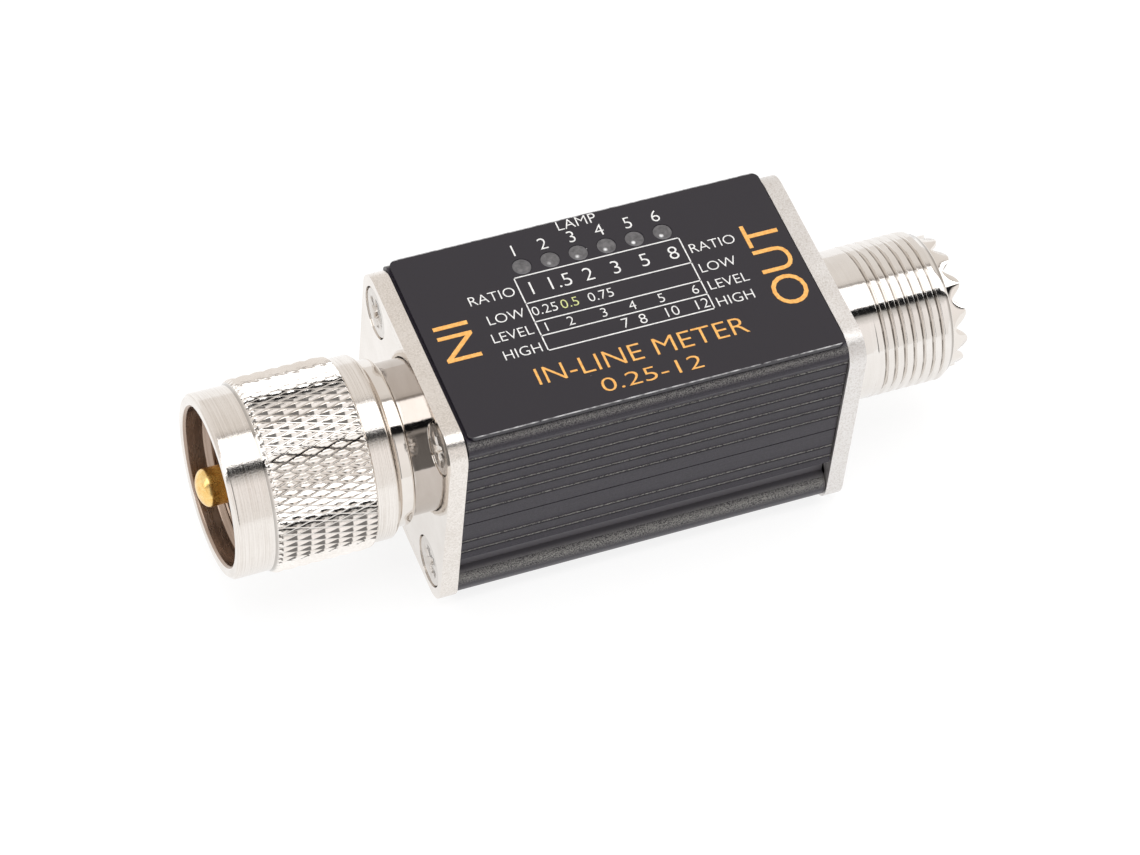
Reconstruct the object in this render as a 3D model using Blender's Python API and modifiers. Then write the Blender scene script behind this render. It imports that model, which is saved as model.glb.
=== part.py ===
"""In-line radio power and standing-wave meter with a threaded socket and a plug with a free-spinning nut.

Units are millimetres, turned into metres by MM. The signal line runs along +X, from the plug end to the
socket end, and +Z is up. The origin is under the middle of the object, on the surface that it stands on.
"""

import math

import bmesh
import bpy
from mathutils import Vector

MM = 0.001
MERGE = 0.002             # points nearer than this are one point
OVERSHOOT = 1.0           # how far a cutter runs past the face that it cuts through

# Gaps between pieces
SEAT_GAP = 0.1            # between faces that touch on the real object
FIT_GAP = 0.1             # around pieces that sit in a hole
RUNNING_GAP = 0.08        # radial, under the nut and its ring

# Flanges
FLANGE_SIDE = 25.4
FLANGE_THICK = 1.85
FLANGE_CORNER = 2.8
SCREW_INSET = 3.6         # from the flange's edges

# Case, made of two extruded halves
CASE_LENGTH = 40.25
CASE_WIDTH = FLANGE_SIDE - 0.4
CASE_TOP = FLANGE_SIDE / 2 - 0.1      # height above the signal line
CASE_BOTTOM = FLANGE_SIDE / 2 - 0.2   # depth below it
CASE_WALL = 1.5
TOP_CORNER = 1.3
FOOT_CORNER = 2.8
PARTING_GAP = 0.1
SIDE_CROWN = 0.06         # how much narrower the sides are at the top edge than at the middle
RIDGE_PITCH = 1.665
RIDGE_DEPTH = 0.22
RIDGE_RISE = 0.22         # height of a ridge's steep lower flank
UPPER_RIDGES = 5
UPPER_RIDGE_START = 2.3
LOWER_RIDGES = 2
LOWER_RIDGE_START = -4.25
SIDE_STEP = 5.35          # depth at which the side channel starts
CHANNEL_DEPTH = 1.3
BEAD_RADIUS = 1.55        # rounded shoulder under the side channel
TONGUE_HEIGHT = 0.8
TONGUE_THICK = 0.7
BOSS_WALL = 0.6
BOSS_SLOT = 0.6           # half the width of the slot that opens a screw channel
BOSS_STEPS = 12
CHANNEL_GAP = 0.1         # around a screw in its channel

# Screws
SCREW_RADIUS = 1.4
SCREW_LENGTH = 7.6
SCREW_HEAD_RADIUS = 2.7
SCREW_HEAD_DEPTH = 1.35
SCREW_SINK = 0.12
SCREW_EDGE = 0.2          # straight edge of a countersunk head
SCREW_POINT = 0.4         # chamfer at the screw's end
CROSS_LENGTH = 2.9
CROSS_WIDTH = 0.55
CROSS_DEPTH = 0.9
CROSS_TURNS = (20, 65, 35, 80)    # degrees that the four cross recesses happen to stand at

# Label and lamps
LABEL_LENGTH = CASE_LENGTH - 0.35
LABEL_WIDTH = CASE_WIDTH - 1.4
LABEL_THICK = 0.5
LABEL_CORNER = 1.2
LAMP_COUNT = 6
LAMP_PITCH = 3.03
LAMP_FIRST = 12.75        # from the case's plug end
LAMP_SIDE = 7.2           # from the middle, away from the front side
WINDOW_RADIUS = 0.97
WINDOW_SINK = 0.03
LAMP_RADIUS = 0.85
LAMP_RIM_RADIUS = 1.05
LAMP_RIM = 0.4
LAMP_LENGTH = 2.9
LAMP_DROP = 0.4           # how far the lamp's top is below the label
LAMP_TOP = 0.7            # radius of the flat part of its dome, as a share of the lamp's
LAMP_LEAD = 0.4
LAMP_LEAD_PITCH = 1.2

# Circuit board and what is on it
BOARD_THICK = 1.6
BOARD_BOTTOM = 4.4
BOARD_END_GAP = 1.2
BOARD_SIDE_GAP = 0.1
LEDGE = 0.8
CHIP_SIZE = (5.0, 3.9, 1.5)
CHIP_SIDE = -2.5
CHIP_LEAD = (0.4, 1.2, 0.5)
CHIP_LEAD_LIFT = 0.15
CHIP_LEAD_PITCH = 1.27
CHIP_LEAD_COLUMNS = 4
REGULATOR_SIZE = (2.9, 1.6, 1.1)
DIODE_SIZE = (2.7, 1.6, 1.1)
PACKAGE_SIDE = -3.2       # side of the regulator and the diodes
REGULATOR_PLACE = 8.0     # places along the board are from its middle
FORWARD_PLACE = -8.0
REFLECTED_PLACE = -12.0
RESISTOR_SIZE = (3.2, 1.6, 0.6)
RESISTOR_SIDE = 2.6
RESISTOR_FIRST = -9.0
RESISTOR_PITCH = 5.5
CAPACITOR_SIZE = (2.0, 1.25, 1.0)
CAPACITOR_FIRST = -10.0
CAPACITOR_PITCH = 4.0
CAN_PLACE = (13.5, -3.8)
CAN_RADIUS = 1.9
CAN_HEIGHT = 3.9
CORE_OUTER = 3.8
CORE_INNER = 1.95
CORE_HALF = 1.25
CORE_EDGE = 0.25
CORE_OFFSET = 6.0         # each core's distance from the case's middle
WIRE_RADIUS = 0.2
WIRE_GAP = 0.12
WIRE_TURNS = 10
WIRE_ARC = 290            # degrees of the core that the winding covers
VOLTAGE_CORE_SIDE = 5.8
VOLTAGE_CORE_DROP = 0.9
SENSE_WIRE_RADIUS = 0.35
SENSE_WIRE_REACH = 3.0    # past the core's face
SENSE_WIRE_BEND = 0.8

# Plug end, stations measured outwards from the flange's face
NECK_RADIUS = 7.9
NECK_LENGTH = 4.6
TRACK_RADIUS = NECK_RADIUS - 0.98     # the nut's lip runs on this
STOP_START = 9.6
STOP_LENGTH = 1.0
STOP_RADIUS = TRACK_RADIUS + 0.38
SKIRT_RADIUS = 6.3
SKIRT_BORE = 5.6
SKIRT_LENGTH = 16.8
INSULATOR_FACE = 11.5
SHELF = 2.0               # floor of the skirt's bore, outwards from the flange's face
FEED_RADIUS = 3.9         # insulator where it passes through a flange
PLUG_INSULATOR_BACK = 1.65    # how far it stands into the case
PIN_RADIUS = 1.97
PIN_LENGTH = 21.6
PIN_DOME = 1.1
PIN_DOME_STEPS = 5
STEM_RADIUS = 1.2
CUP_RADIUS = 1.7
CUP_BORE = 1.15
CUP_LENGTH = 4.4
CUP_DEPTH = 3.0
LINE_RADIUS = 1.0

# Coupling nut, stations measured outwards from the flange's face
RING_START = 1.55
RING_LENGTH = 1.7
RING_RADIUS = NECK_RADIUS + 0.7
RING_EDGE = 0.25
NUT_START = 3.3
NUT_LENGTH = 17.0
NUT_BAND_RADIUS = NECK_RADIUS + 1.6
NUT_KNURL_RADIUS = NUT_BAND_RADIUS + 0.45
NUT_REAR_BAND = 2.4
NUT_FRONT_BAND = 3.5
NUT_KNURL_CHAMFER = 1.2
NUT_EDGE = 0.5
NUT_LIP_START = 5.5
NUT_LIP = 1.5
NUT_RELIEF = 1.6
NUT_THREAD_RADIUS = STOP_RADIUS + 0.15
NUT_RELIEF_RADIUS = NUT_THREAD_RADIUS + 0.65
NUT_MOUTH_RADIUS = NUT_RELIEF_RADIUS
NUT_MOUTH_DEPTH = 2.1
NUT_MOUTH_CHAMFER = 0.3

# Socket end, stations measured outwards from the flange's face
BARREL_RADIUS = NECK_RADIUS + 0.04
THREAD_START = 4.7
THREAD_END = 12.4
BARREL_END = 13.4
RIM_RADIUS = BARREL_RADIUS - 0.94
RIM_LENGTH = 1.75
SOCKET_BORE = 6.4
SOCKET_DEPTH = 8.0
TOOTH_COUNT = 14
TOOTH_DEPTH = 1.2
TOOTH_SIDES = 4           # sides of the barrel for each tooth
RIM_LAND = 0.45           # flat shoulder around the rim's root
BARREL_SET = 0.3          # how far the barrel's end stops short of the flange's back
BARREL_GRIP = 1.0         # wall of the barrel that sits in the flange
SOCKET_SHELF = 0.8
SOCKET_INSULATOR_BACK = 2.0   # how far it stands into the case
CONTACT_RADIUS = 2.9
CONTACT_BORE = 2.05
CONTACT_SLIT = 0.4
CONTACT_SLIT_LENGTH = 5.0
CONTACT_HOLE_DEPTH = 9.0

ROUND = 48                # sides of a large round piece
SMALL_ROUND = 16          # sides of a screw, a lamp or a rod
CORNER_STEPS = 5
SHARP_ANGLE = math.radians(35)    # edges sharper than this stay sharp

# Worked out from the sizes above
AXIS_HEIGHT = FLANGE_SIDE / 2
CASE_START = FLANGE_THICK + SEAT_GAP
CASE_END = CASE_START + CASE_LENGTH
SOCKET_FLANGE_BACK = CASE_END + SEAT_GAP
SOCKET_FACE = SOCKET_FLANGE_BACK + FLANGE_THICK
SOCKET_TIP = SOCKET_FACE + BARREL_END + RIM_LENGTH
MIDDLE = (SOCKET_TIP - PIN_LENGTH) / 2
HALF_WIDTH = CASE_WIDTH / 2
HALF_SPACING = FLANGE_SIDE / 2 - SCREW_INSET
INNER_HALF = HALF_WIDTH - CASE_WALL
FOOT_INNER_HALF = HALF_WIDTH - CHANNEL_DEPTH - CASE_WALL + SEAT_GAP
BOARD_TOP = BOARD_BOTTOM + BOARD_THICK
SOCKET_FLOOR = BARREL_END + RIM_LENGTH - SOCKET_DEPTH
RUN_STEP = math.radians(360 / ROUND)
RUN_SCALE = 1 / math.cos(RUN_STEP / 2)   # makes a faceted hole clear the round shaft inside it

for stale in list(bpy.data.objects):
    bpy.data.objects.remove(stale)

parts = bpy.data.collections.new("swr_meter")
cutters = bpy.data.collections.new("cutters")
for group in (parts, cutters):
    bpy.context.scene.collection.children.link(group)


def material(name, color, roughness, metallic=0.0, alpha=1.0):
    """A plain Principled finish."""
    finish = bpy.data.materials.new(name)
    finish.use_nodes = True
    shader = finish.node_tree.nodes["Principled BSDF"]
    shader.inputs["Base Color"].default_value = (*color, 1.0)
    shader.inputs["Roughness"].default_value = roughness
    shader.inputs["Metallic"].default_value = metallic
    shader.inputs["Alpha"].default_value = alpha
    return finish


NICKEL = material("nickel_plate", (0.80, 0.77, 0.72), 0.22, 1.0)
SATIN_NICKEL = material("satin_nickel", (0.78, 0.75, 0.70), 0.38, 1.0)
GOLD = material("gold_plate", (0.86, 0.60, 0.22), 0.30, 1.0)
STEEL = material("screw_steel", (0.66, 0.64, 0.61), 0.32, 1.0)
ANODISED = material("black_anodised", (0.055, 0.053, 0.057), 0.42, 0.6)
LABEL = material("label_black", (0.040, 0.037, 0.042), 0.18)
WINDOW = material("smoked_window", (0.30, 0.30, 0.31), 0.30, 0.0, 0.55)
LAMP = material("clear_lamp", (0.80, 0.82, 0.84), 0.12, 0.0, 0.45)
FLUOROPOLYMER = material("white_insulator", (0.86, 0.85, 0.81), 0.45)
BOARD = material("board_green", (0.03, 0.20, 0.08), 0.40)
FERRITE = material("ferrite", (0.13, 0.12, 0.12), 0.60)
COPPER = material("enamelled_copper", (0.60, 0.24, 0.10), 0.30, 1.0)
TINNED = material("tinned_copper", (0.75, 0.73, 0.70), 0.35, 1.0)
CHIP = material("chip_black", (0.03, 0.03, 0.03), 0.50)
CERAMIC = material("chip_ceramic", (0.60, 0.48, 0.33), 0.55)
RESISTOR = material("resistor_black", (0.05, 0.05, 0.06), 0.35)


def station(x, y=0.0, z=0.0):
    """World point for a place given from the plug flange's face and the signal line."""
    return Vector(((x - MIDDLE) * MM, y * MM, (z + AXIS_HEIGHT) * MM))


def finished(name, mesh, place, turn, finish, group=parts):
    """Links a mesh as the named piece, smooth where it is round."""
    mesh.materials.clear()
    if finish:
        mesh.materials.append(finish)
    mesh.shade_smooth()
    mesh.set_sharp_from_angle(angle=SHARP_ANGLE)
    piece = bpy.data.objects.new(name, mesh)
    piece.location = place
    piece.rotation_euler = turn
    group.objects.link(piece)
    if group is cutters:
        piece.hide_render = True
        piece.display_type = "WIRE"
    return piece


def settled(source, name, whole_caps=False):
    """The evaluated mesh of an object made in millimetres, merged and brought to metres; the object goes.

    With whole_caps, each end of a flat outline becomes one face, because its filled triangles can be thin.
    """
    bpy.context.view_layer.update()
    graph = bpy.context.evaluated_depsgraph_get()
    mesh = bpy.data.meshes.new_from_object(source.evaluated_get(graph))
    mesh.name = name
    work = bmesh.new()
    work.from_mesh(mesh)
    bmesh.ops.remove_doubles(work, verts=work.verts, dist=MERGE)
    if whole_caps:
        caps = [face for face in work.faces if abs(face.normal.z) > 0.5 or face.calc_area() < MERGE ** 2]
        bmesh.ops.delete(work, geom=caps, context="FACES")
        bmesh.ops.holes_fill(work, edges=work.edges, sides=0)
    bmesh.ops.recalc_face_normals(work, faces=work.faces)
    bmesh.ops.scale(work, vec=(MM, MM, MM), verts=work.verts)
    work.to_mesh(mesh)
    work.free()
    bpy.data.objects.remove(source)
    return mesh


AXIAL = (0, math.pi / 2, 0)       # turns a piece made along Z so that it lies along +X
UPRIGHT = (0, 0, 0)


def turned(name, profile, place, finish, sides=ROUND, closed=True, turn=AXIAL, group=parts):
    """A turned piece: (height, radius) points run down the outside, and back up the bore if closed."""
    mesh = bpy.data.meshes.new(name + "_profile")
    points = [(radius, 0, height) for height, radius in profile]
    edges = [(i, i + 1) for i in range(len(points) - 1)]
    if closed:
        edges.append((len(points) - 1, 0))
    mesh.from_pydata(points, edges, [])
    source = bpy.data.objects.new(name + "_profile", mesh)
    bpy.context.scene.collection.objects.link(source)
    screw = source.modifiers.new("turn", "SCREW")
    screw.axis = "Z"
    screw.steps = sides
    screw.render_steps = sides
    screw.use_merge_vertices = True
    screw.merge_threshold = MERGE / 100
    return finished(name, settled(source, name), place, turn, finish, group)


def plate(name, outline, thick, place, finish, turn=UPRIGHT, group=parts):
    """A flat piece: its outline, in the XY plane, with half the thickness on each side."""
    curve = bpy.data.curves.new(name + "_outline", "CURVE")
    curve.dimensions = "2D"
    curve.fill_mode = "BOTH"
    curve.extrude = thick / 2
    spline = curve.splines.new("POLY")
    spline.points.add(len(outline) - 1)
    for point, (x, y) in zip(spline.points, outline):
        point.co = (x, y, 0, 1)
    spline.use_cyclic_u = True
    source = bpy.data.objects.new(name + "_outline", curve)
    bpy.context.scene.collection.objects.link(source)
    return finished(name, settled(source, name, True), place, turn, finish, group)


def across(outline):
    """Turns (y, z) points into the local XY of a plate that is laid across the signal line."""
    return [(-z, y) for y, z in outline]


def box(name, low, high, finish, group=parts):
    """A rectangular piece between two corners."""
    mesh = bpy.data.meshes.new(name)
    work = bmesh.new()
    bmesh.ops.create_cube(work, size=1.0)
    size = [(b - a) * MM for a, b in zip(low, high)]
    bmesh.ops.scale(work, vec=size, verts=work.verts)
    work.to_mesh(mesh)
    work.free()
    centre = station(*[(a + b) / 2 for a, b in zip(low, high)])
    return finished(name, mesh, centre, UPRIGHT, finish, group)


def wire(name, points, radius, finish, resolution=1):
    """A round wire through points given from the plug flange's face and the signal line."""
    curve = bpy.data.curves.new(name + "_path", "CURVE")
    curve.dimensions = "3D"
    curve.bevel_depth = radius
    curve.bevel_resolution = resolution
    curve.use_fill_caps = True
    spline = curve.splines.new("POLY")
    spline.points.add(len(points) - 1)
    for point, place in zip(spline.points, points):
        point.co = (*station(*place) / MM, 1)
    source = bpy.data.objects.new(name + "_path", curve)
    bpy.context.scene.collection.objects.link(source)
    return finished(name, settled(source, name), (0, 0, 0), UPRIGHT, finish)


def cut(piece, cutter):
    """Takes the cutter's shape out of the piece."""
    step = piece.modifiers.new("cut_" + cutter.name, "BOOLEAN")
    step.operation = "DIFFERENCE"
    step.object = cutter


def join(piece, other):
    """Adds the other shape to the piece, as one body."""
    step = piece.modifiers.new("join_" + other.name, "BOOLEAN")
    step.operation = "UNION"
    step.object = other


def arc(centre, radius, start, end, steps=CORNER_STEPS):
    """Points along an arc, angles in degrees."""
    out = []
    for i in range(steps + 1):
        angle = math.radians(start + (end - start) * i / steps)
        out.append((centre[0] + radius * math.cos(angle), centre[1] + radius * math.sin(angle)))
    return out


def rounded_square(width, height, corner):
    """Outline of a rectangle with round corners, about its centre."""
    a = width / 2 - corner
    b = height / 2 - corner
    outline = []
    for index, (x, y) in enumerate(((a, b), (-a, b), (-a, -b), (a, -b))):
        outline += arc((x, y), corner, 90 * index, 90 * index + 90)
    return outline


def side_point(depth, z):
    """A point on the case's side, which is crowned a little so that it is widest at its middle."""
    return (HALF_WIDTH - depth - SIDE_CROWN * (z / CASE_TOP) ** 2, z)


def ridge_points(start, count):
    """Saw-tooth ridges going up the +Y side: a steep lower flank, a crest, and a long upper slope."""
    out = []
    for i in range(count + 1):
        crest = start + i * RIDGE_PITCH
        out += [side_point(RIDGE_DEPTH, crest - RIDGE_RISE), side_point(0, crest)]
    return out


def boss_points(face, ceiling, sign):
    """Inner outline of a corner screw channel, from the ceiling or floor to the side wall."""
    hole = SCREW_RADIUS + CHANNEL_GAP
    half = math.degrees(math.asin(BOSS_SLOT / hole))
    near = HALF_SPACING - hole - BOSS_WALL
    spread = BOSS_SLOT * math.sqrt(2)
    out = [(near, ceiling), (near, near + spread)]
    out += arc((HALF_SPACING, HALF_SPACING), hole, 225 - half, -135 + half, BOSS_STEPS)
    out += [(near + spread, near), (face, near)]
    return [(y, sign * z) for y, z in out]


def upper_outline():
    """Section of the upper half."""
    shoulder = HALF_WIDTH - SIDE_CROWN - TOP_CORNER
    floor = PARTING_GAP / 2
    ledge = INNER_HALF - LEDGE
    rebate = INNER_HALF + TONGUE_THICK + FIT_GAP
    outer = [side_point(RIDGE_DEPTH, floor)]
    outer += ridge_points(UPPER_RIDGE_START, UPPER_RIDGES)
    outer += arc((shoulder, CASE_TOP - TOP_CORNER), TOP_CORNER, 0, 90)
    inner = boss_points(ledge, CASE_TOP - CASE_WALL, 1)
    inner += [(ledge, BOARD_TOP + SEAT_GAP), (INNER_HALF, BOARD_TOP + SEAT_GAP)]
    inner += [(INNER_HALF, BOARD_BOTTOM - SEAT_GAP), (ledge, BOARD_BOTTOM - SEAT_GAP)]
    inner += [(ledge, BOARD_BOTTOM - SEAT_GAP - LEDGE), (INNER_HALF, BOARD_BOTTOM - SEAT_GAP - LEDGE)]
    inner += [(INNER_HALF, TONGUE_HEIGHT + SEAT_GAP), (rebate, TONGUE_HEIGHT + SEAT_GAP), (rebate, floor)]
    right = inner + outer
    return right + [(-y, z) for y, z in reversed(right)]


def lower_outline():
    """Section of the lower half: a tongue, two ridges, a side channel and a round foot."""
    top = -PARTING_GAP / 2
    tongue = INNER_HALF + TONGUE_THICK
    channel = HALF_WIDTH - CHANNEL_DEPTH
    foot = -CASE_BOTTOM + FOOT_CORNER
    shelf = -SIDE_STEP + CASE_WALL
    outer = [side_point(0, -SIDE_STEP)]
    outer += ridge_points(LOWER_RIDGE_START, LOWER_RIDGES - 1)
    outer += [side_point(RIDGE_DEPTH, top)]
    outer += [(tongue, top), (tongue, TONGUE_HEIGHT), (INNER_HALF, TONGUE_HEIGHT)]
    bead = [p for p in arc((HALF_WIDTH - BEAD_RADIUS, foot), BEAD_RADIUS, 0, 90) if p[0] > channel]
    below = arc((HALF_WIDTH - FOOT_CORNER, foot), FOOT_CORNER, -90, 0)
    rise = math.sqrt(BEAD_RADIUS ** 2 - (channel - HALF_WIDTH + BEAD_RADIUS) ** 2)
    below += bead[1:] + [(channel, foot + rise), (channel, -SIDE_STEP)]
    inner = [(INNER_HALF, shelf), (FOOT_INNER_HALF, shelf)]
    inner += list(reversed(boss_points(FOOT_INNER_HALF, CASE_BOTTOM - CASE_WALL, -1)))
    right = below + outer + inner
    return right + [(-y, z) for y, z in reversed(right)]


def shell(name, outline):
    """One extruded half of the case."""
    centre = station((CASE_START + CASE_END) / 2)
    return plate(name, across(outline), CASE_LENGTH, centre, ANODISED, AXIAL)


def lamp_places():
    """Station and side of each lamp."""
    return [(CASE_START + LAMP_FIRST + i * LAMP_PITCH, LAMP_SIDE) for i in range(LAMP_COUNT)]


def upright_cutter(name, x, y, low, high, radius):
    """A vertical drill."""
    profile = [(high, 0), (high, radius), (low, radius), (low, 0)]
    return turned(name, profile, station(x, y), None, SMALL_ROUND, False, UPRIGHT, cutters)


def make_case():
    """Both halves; the upper one has a milled slot over the row of lamps."""
    upper = shell("upper_shell", upper_outline())
    shell("lower_shell", lower_outline())
    radius = LAMP_RIM_RADIUS + FIT_GAP
    reach = LAMP_PITCH * (LAMP_COUNT - 1) / 2
    outline = arc((reach, 0), radius, -90, 90) + arc((-reach, 0), radius, 90, 270)
    low = BOARD_TOP + LAMP_RIM
    high = CASE_TOP + LEDGE
    place = station(CASE_START + LAMP_FIRST + reach, LAMP_SIDE, (low + high) / 2)
    cut(upper, plate("lamp_slot", outline, high - low, place, None, UPRIGHT, cutters))


def make_label():
    """The printed cover plate, its six windows and the lamps under them."""
    bottom = CASE_TOP + SEAT_GAP
    centre = station((CASE_START + CASE_END) / 2, 0, bottom + LABEL_THICK / 2)
    outline = rounded_square(LABEL_LENGTH, LABEL_WIDTH, LABEL_CORNER)
    label = plate("label_plate", outline, LABEL_THICK, centre, LABEL)
    for index, (x, y) in enumerate(lamp_places(), 1):
        hole = upright_cutter(f"window_hole_{index}", x, y, bottom - LEDGE, bottom + LABEL_THICK + LEDGE,
                              WINDOW_RADIUS + WINDOW_SINK)
        cut(label, hole)
        top = bottom + LABEL_THICK - WINDOW_SINK
        disc = [(top, 0), (top, WINDOW_RADIUS), (bottom, WINDOW_RADIUS), (bottom, 0)]
        turned(f"lamp_window_{index}", disc, station(x, y), WINDOW, SMALL_ROUND, False, UPRIGHT)
        make_lamp(index, x, y, bottom - LAMP_DROP)


def make_lamp(index, x, y, top):
    """A small domed lamp on two leads."""
    rim = top - LAMP_LENGTH
    crown = LAMP_RADIUS * LAMP_TOP
    profile = [(top, 0), (top + crown - LAMP_RADIUS, crown), (top - LAMP_RADIUS, LAMP_RADIUS),
               (rim + LAMP_RIM, LAMP_RADIUS), (rim + LAMP_RIM, LAMP_RIM_RADIUS), (rim, LAMP_RIM_RADIUS),
               (rim, 0)]
    lamp = turned(f"lamp_{index}", profile, station(x, y), LAMP, SMALL_ROUND, False, UPRIGHT)
    half = LAMP_LEAD / 2
    for side in (-1, 1):
        middle = x + side * LAMP_LEAD_PITCH / 2
        low = (middle - half, y - half, BOARD_TOP + SEAT_GAP)
        high = (middle + half, y + half, rim + LAMP_RIM / 2)
        join(lamp, box(f"lamp_lead_{index}_{side}", low, high, None, cutters))


def surface_part(name, x, y, size, finish):
    """A small part soldered on the board's upper face."""
    base = BOARD_TOP + SEAT_GAP
    low = (x - size[0] / 2, y - size[1] / 2, base)
    high = (x + size[0] / 2, y + size[1] / 2, base + size[2])
    return box(name, low, high, finish)


def make_board():
    """The circuit board and its small parts."""
    half = INNER_HALF - BOARD_SIDE_GAP
    low = (CASE_START + BOARD_END_GAP, -half, BOARD_BOTTOM)
    high = (CASE_END - BOARD_END_GAP, half, BOARD_TOP)
    box("circuit_board", low, high, BOARD)
    middle = (CASE_START + CASE_END) / 2
    chip = surface_part("controller_chip", middle, CHIP_SIDE, CHIP_SIZE, CHIP)
    base = BOARD_TOP + CHIP_LEAD_LIFT
    for row in (-1, 1):
        for column in range(CHIP_LEAD_COLUMNS):
            x = middle + (column - (CHIP_LEAD_COLUMNS - 1) / 2) * CHIP_LEAD_PITCH
            y = CHIP_SIDE + row * (CHIP_SIZE[1] / 2 + CHIP_LEAD[1] / 3)
            foot = (x - CHIP_LEAD[0] / 2, y - CHIP_LEAD[1] / 2, base)
            knee = (x + CHIP_LEAD[0] / 2, y + CHIP_LEAD[1] / 2, base + CHIP_LEAD[2])
            join(chip, box(f"chip_lead_{row}_{column}", foot, knee, None, cutters))
    surface_part("voltage_regulator", middle + REGULATOR_PLACE, PACKAGE_SIDE, REGULATOR_SIZE, CHIP)
    surface_part("forward_diode", middle + FORWARD_PLACE, PACKAGE_SIDE, DIODE_SIZE, CHIP)
    surface_part("reflected_diode", middle + REFLECTED_PLACE, PACKAGE_SIDE, DIODE_SIZE, CHIP)
    for index in range(4):
        x = middle + RESISTOR_FIRST + index * RESISTOR_PITCH
        surface_part(f"resistor_{index + 1}", x, RESISTOR_SIDE, RESISTOR_SIZE, RESISTOR)
    for index in range(2):
        x = middle + CAPACITOR_FIRST + index * CAPACITOR_PITCH
        surface_part(f"ceramic_capacitor_{index + 1}", x, 0, CAPACITOR_SIZE, CERAMIC)
    base = BOARD_TOP + SEAT_GAP
    can = [(base + CAN_HEIGHT, 0), (base + CAN_HEIGHT, CAN_RADIUS), (base, CAN_RADIUS), (base, 0)]
    place = station(middle + CAN_PLACE[0], CAN_PLACE[1])
    turned("storage_capacitor", can, place, TINNED, SMALL_ROUND, False, UPRIGHT)


def make_core(name, x, y, z):
    """A ferrite ring around the X direction."""
    shoulder = CORE_OUTER - CORE_EDGE
    side = CORE_HALF - CORE_EDGE
    profile = [(CORE_HALF, shoulder), (side, CORE_OUTER), (-side, CORE_OUTER),
               (-CORE_HALF, shoulder), (-CORE_HALF, CORE_INNER), (CORE_HALF, CORE_INNER)]
    turned(name, profile, station(x, y, z), FERRITE, SMALL_ROUND * 2)


def make_winding(name, x, y, z):
    """Wire wound round a core, its two ends standing up to the board."""
    inside = CORE_INNER - WIRE_GAP - WIRE_RADIUS
    outside = CORE_OUTER + WIRE_GAP + WIRE_RADIUS
    face = CORE_HALF + WIRE_GAP + WIRE_RADIUS
    corners = [(outside, -face), (outside, face), (inside, face), (inside, -face)]
    count = WIRE_TURNS * len(corners) + 2
    points = []
    for i in range(count):
        radius, along = corners[i % len(corners)]
        angle = math.radians(90 + (360 - WIRE_ARC) / 2 + WIRE_ARC * i / (count - 1))
        points.append((x + along, y + radius * math.cos(angle), z + radius * math.sin(angle)))
    top = BOARD_BOTTOM - SEAT_GAP
    start = (points[0][0], points[0][1], top)
    end = (points[-1][0], points[-1][1], top)
    wire(name, [start] + points + [end], WIRE_RADIUS, COPPER)


def make_coupler():
    """The through line, two wound cores and the sense wire."""
    middle = (CASE_START + CASE_END) / 2
    start = FLANGE_THICK + PLUG_INSULATOR_BACK + SEAT_GAP + CUP_LENGTH - CUP_DEPTH + SEAT_GAP
    end = SOCKET_FLANGE_BACK - SOCKET_INSULATOR_BACK - SEAT_GAP - CUP_LENGTH + CUP_DEPTH - SEAT_GAP
    rod = [(end, 0), (end, LINE_RADIUS), (start, LINE_RADIUS), (start, 0)]
    turned("through_line", rod, station(0), TINNED, SMALL_ROUND, False)
    make_core("current_core", middle - CORE_OFFSET, 0, 0)
    make_winding("current_winding", middle - CORE_OFFSET, 0, 0)
    x = middle + CORE_OFFSET
    make_core("voltage_core", x, VOLTAGE_CORE_SIDE, -VOLTAGE_CORE_DROP)
    make_winding("voltage_winding", x, VOLTAGE_CORE_SIDE, -VOLTAGE_CORE_DROP)
    reach = CORE_HALF + SENSE_WIRE_REACH
    bend = SENSE_WIRE_BEND
    top = BOARD_BOTTOM - SEAT_GAP
    low = -VOLTAGE_CORE_DROP
    side = VOLTAGE_CORE_SIDE
    path = [(x - reach, side, top), (x - reach, side, low + bend), (x - reach + bend, side, low)]
    path += [(x + reach - bend, side, low), (x + reach, side, low + bend), (x + reach, side, top)]
    wire("sense_wire", path, SENSE_WIRE_RADIUS, TINNED)


def flange_corners():
    """The four screw places, (y, z) from the signal line."""
    return [(sy * HALF_SPACING, sz * HALF_SPACING) for sz in (1, -1) for sy in (1, -1)]


def screw_profile():
    """Countersunk screw along +Z, its head's face at zero and its point below."""
    top = -SCREW_SINK
    return [(top, 0), (top, SCREW_HEAD_RADIUS), (top - SCREW_EDGE, SCREW_HEAD_RADIUS),
            (top - SCREW_HEAD_DEPTH, SCREW_RADIUS), (SCREW_POINT - SCREW_LENGTH, SCREW_RADIUS),
            (-SCREW_LENGTH, SCREW_RADIUS - SCREW_POINT), (-SCREW_LENGTH, 0)]


def countersink_profile():
    """The hole that the screw sits in, wider by a gap all round."""
    head = SCREW_HEAD_RADIUS + FIT_GAP
    shank = SCREW_RADIUS + FIT_GAP
    low = -SCREW_SINK - FIT_GAP
    return [(OVERSHOOT, 0), (OVERSHOOT, head), (low - SCREW_EDGE, head), (low - SCREW_HEAD_DEPTH, shank),
            (-SCREW_LENGTH, shank), (-SCREW_LENGTH, 0)]


def cross_outline(spin):
    """A plus sign for the driver recess, turned by the spin in degrees."""
    a = CROSS_LENGTH / 2
    b = CROSS_WIDTH / 2
    arm = [(a, -b), (a, b), (b, b)]
    out = []
    for quarter in range(4):
        c = math.cos(math.radians(spin + 90 * quarter))
        s = math.sin(math.radians(spin + 90 * quarter))
        out += [(x * c - y * s, x * s + y * c) for x, y in arm]
    return out


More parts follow.
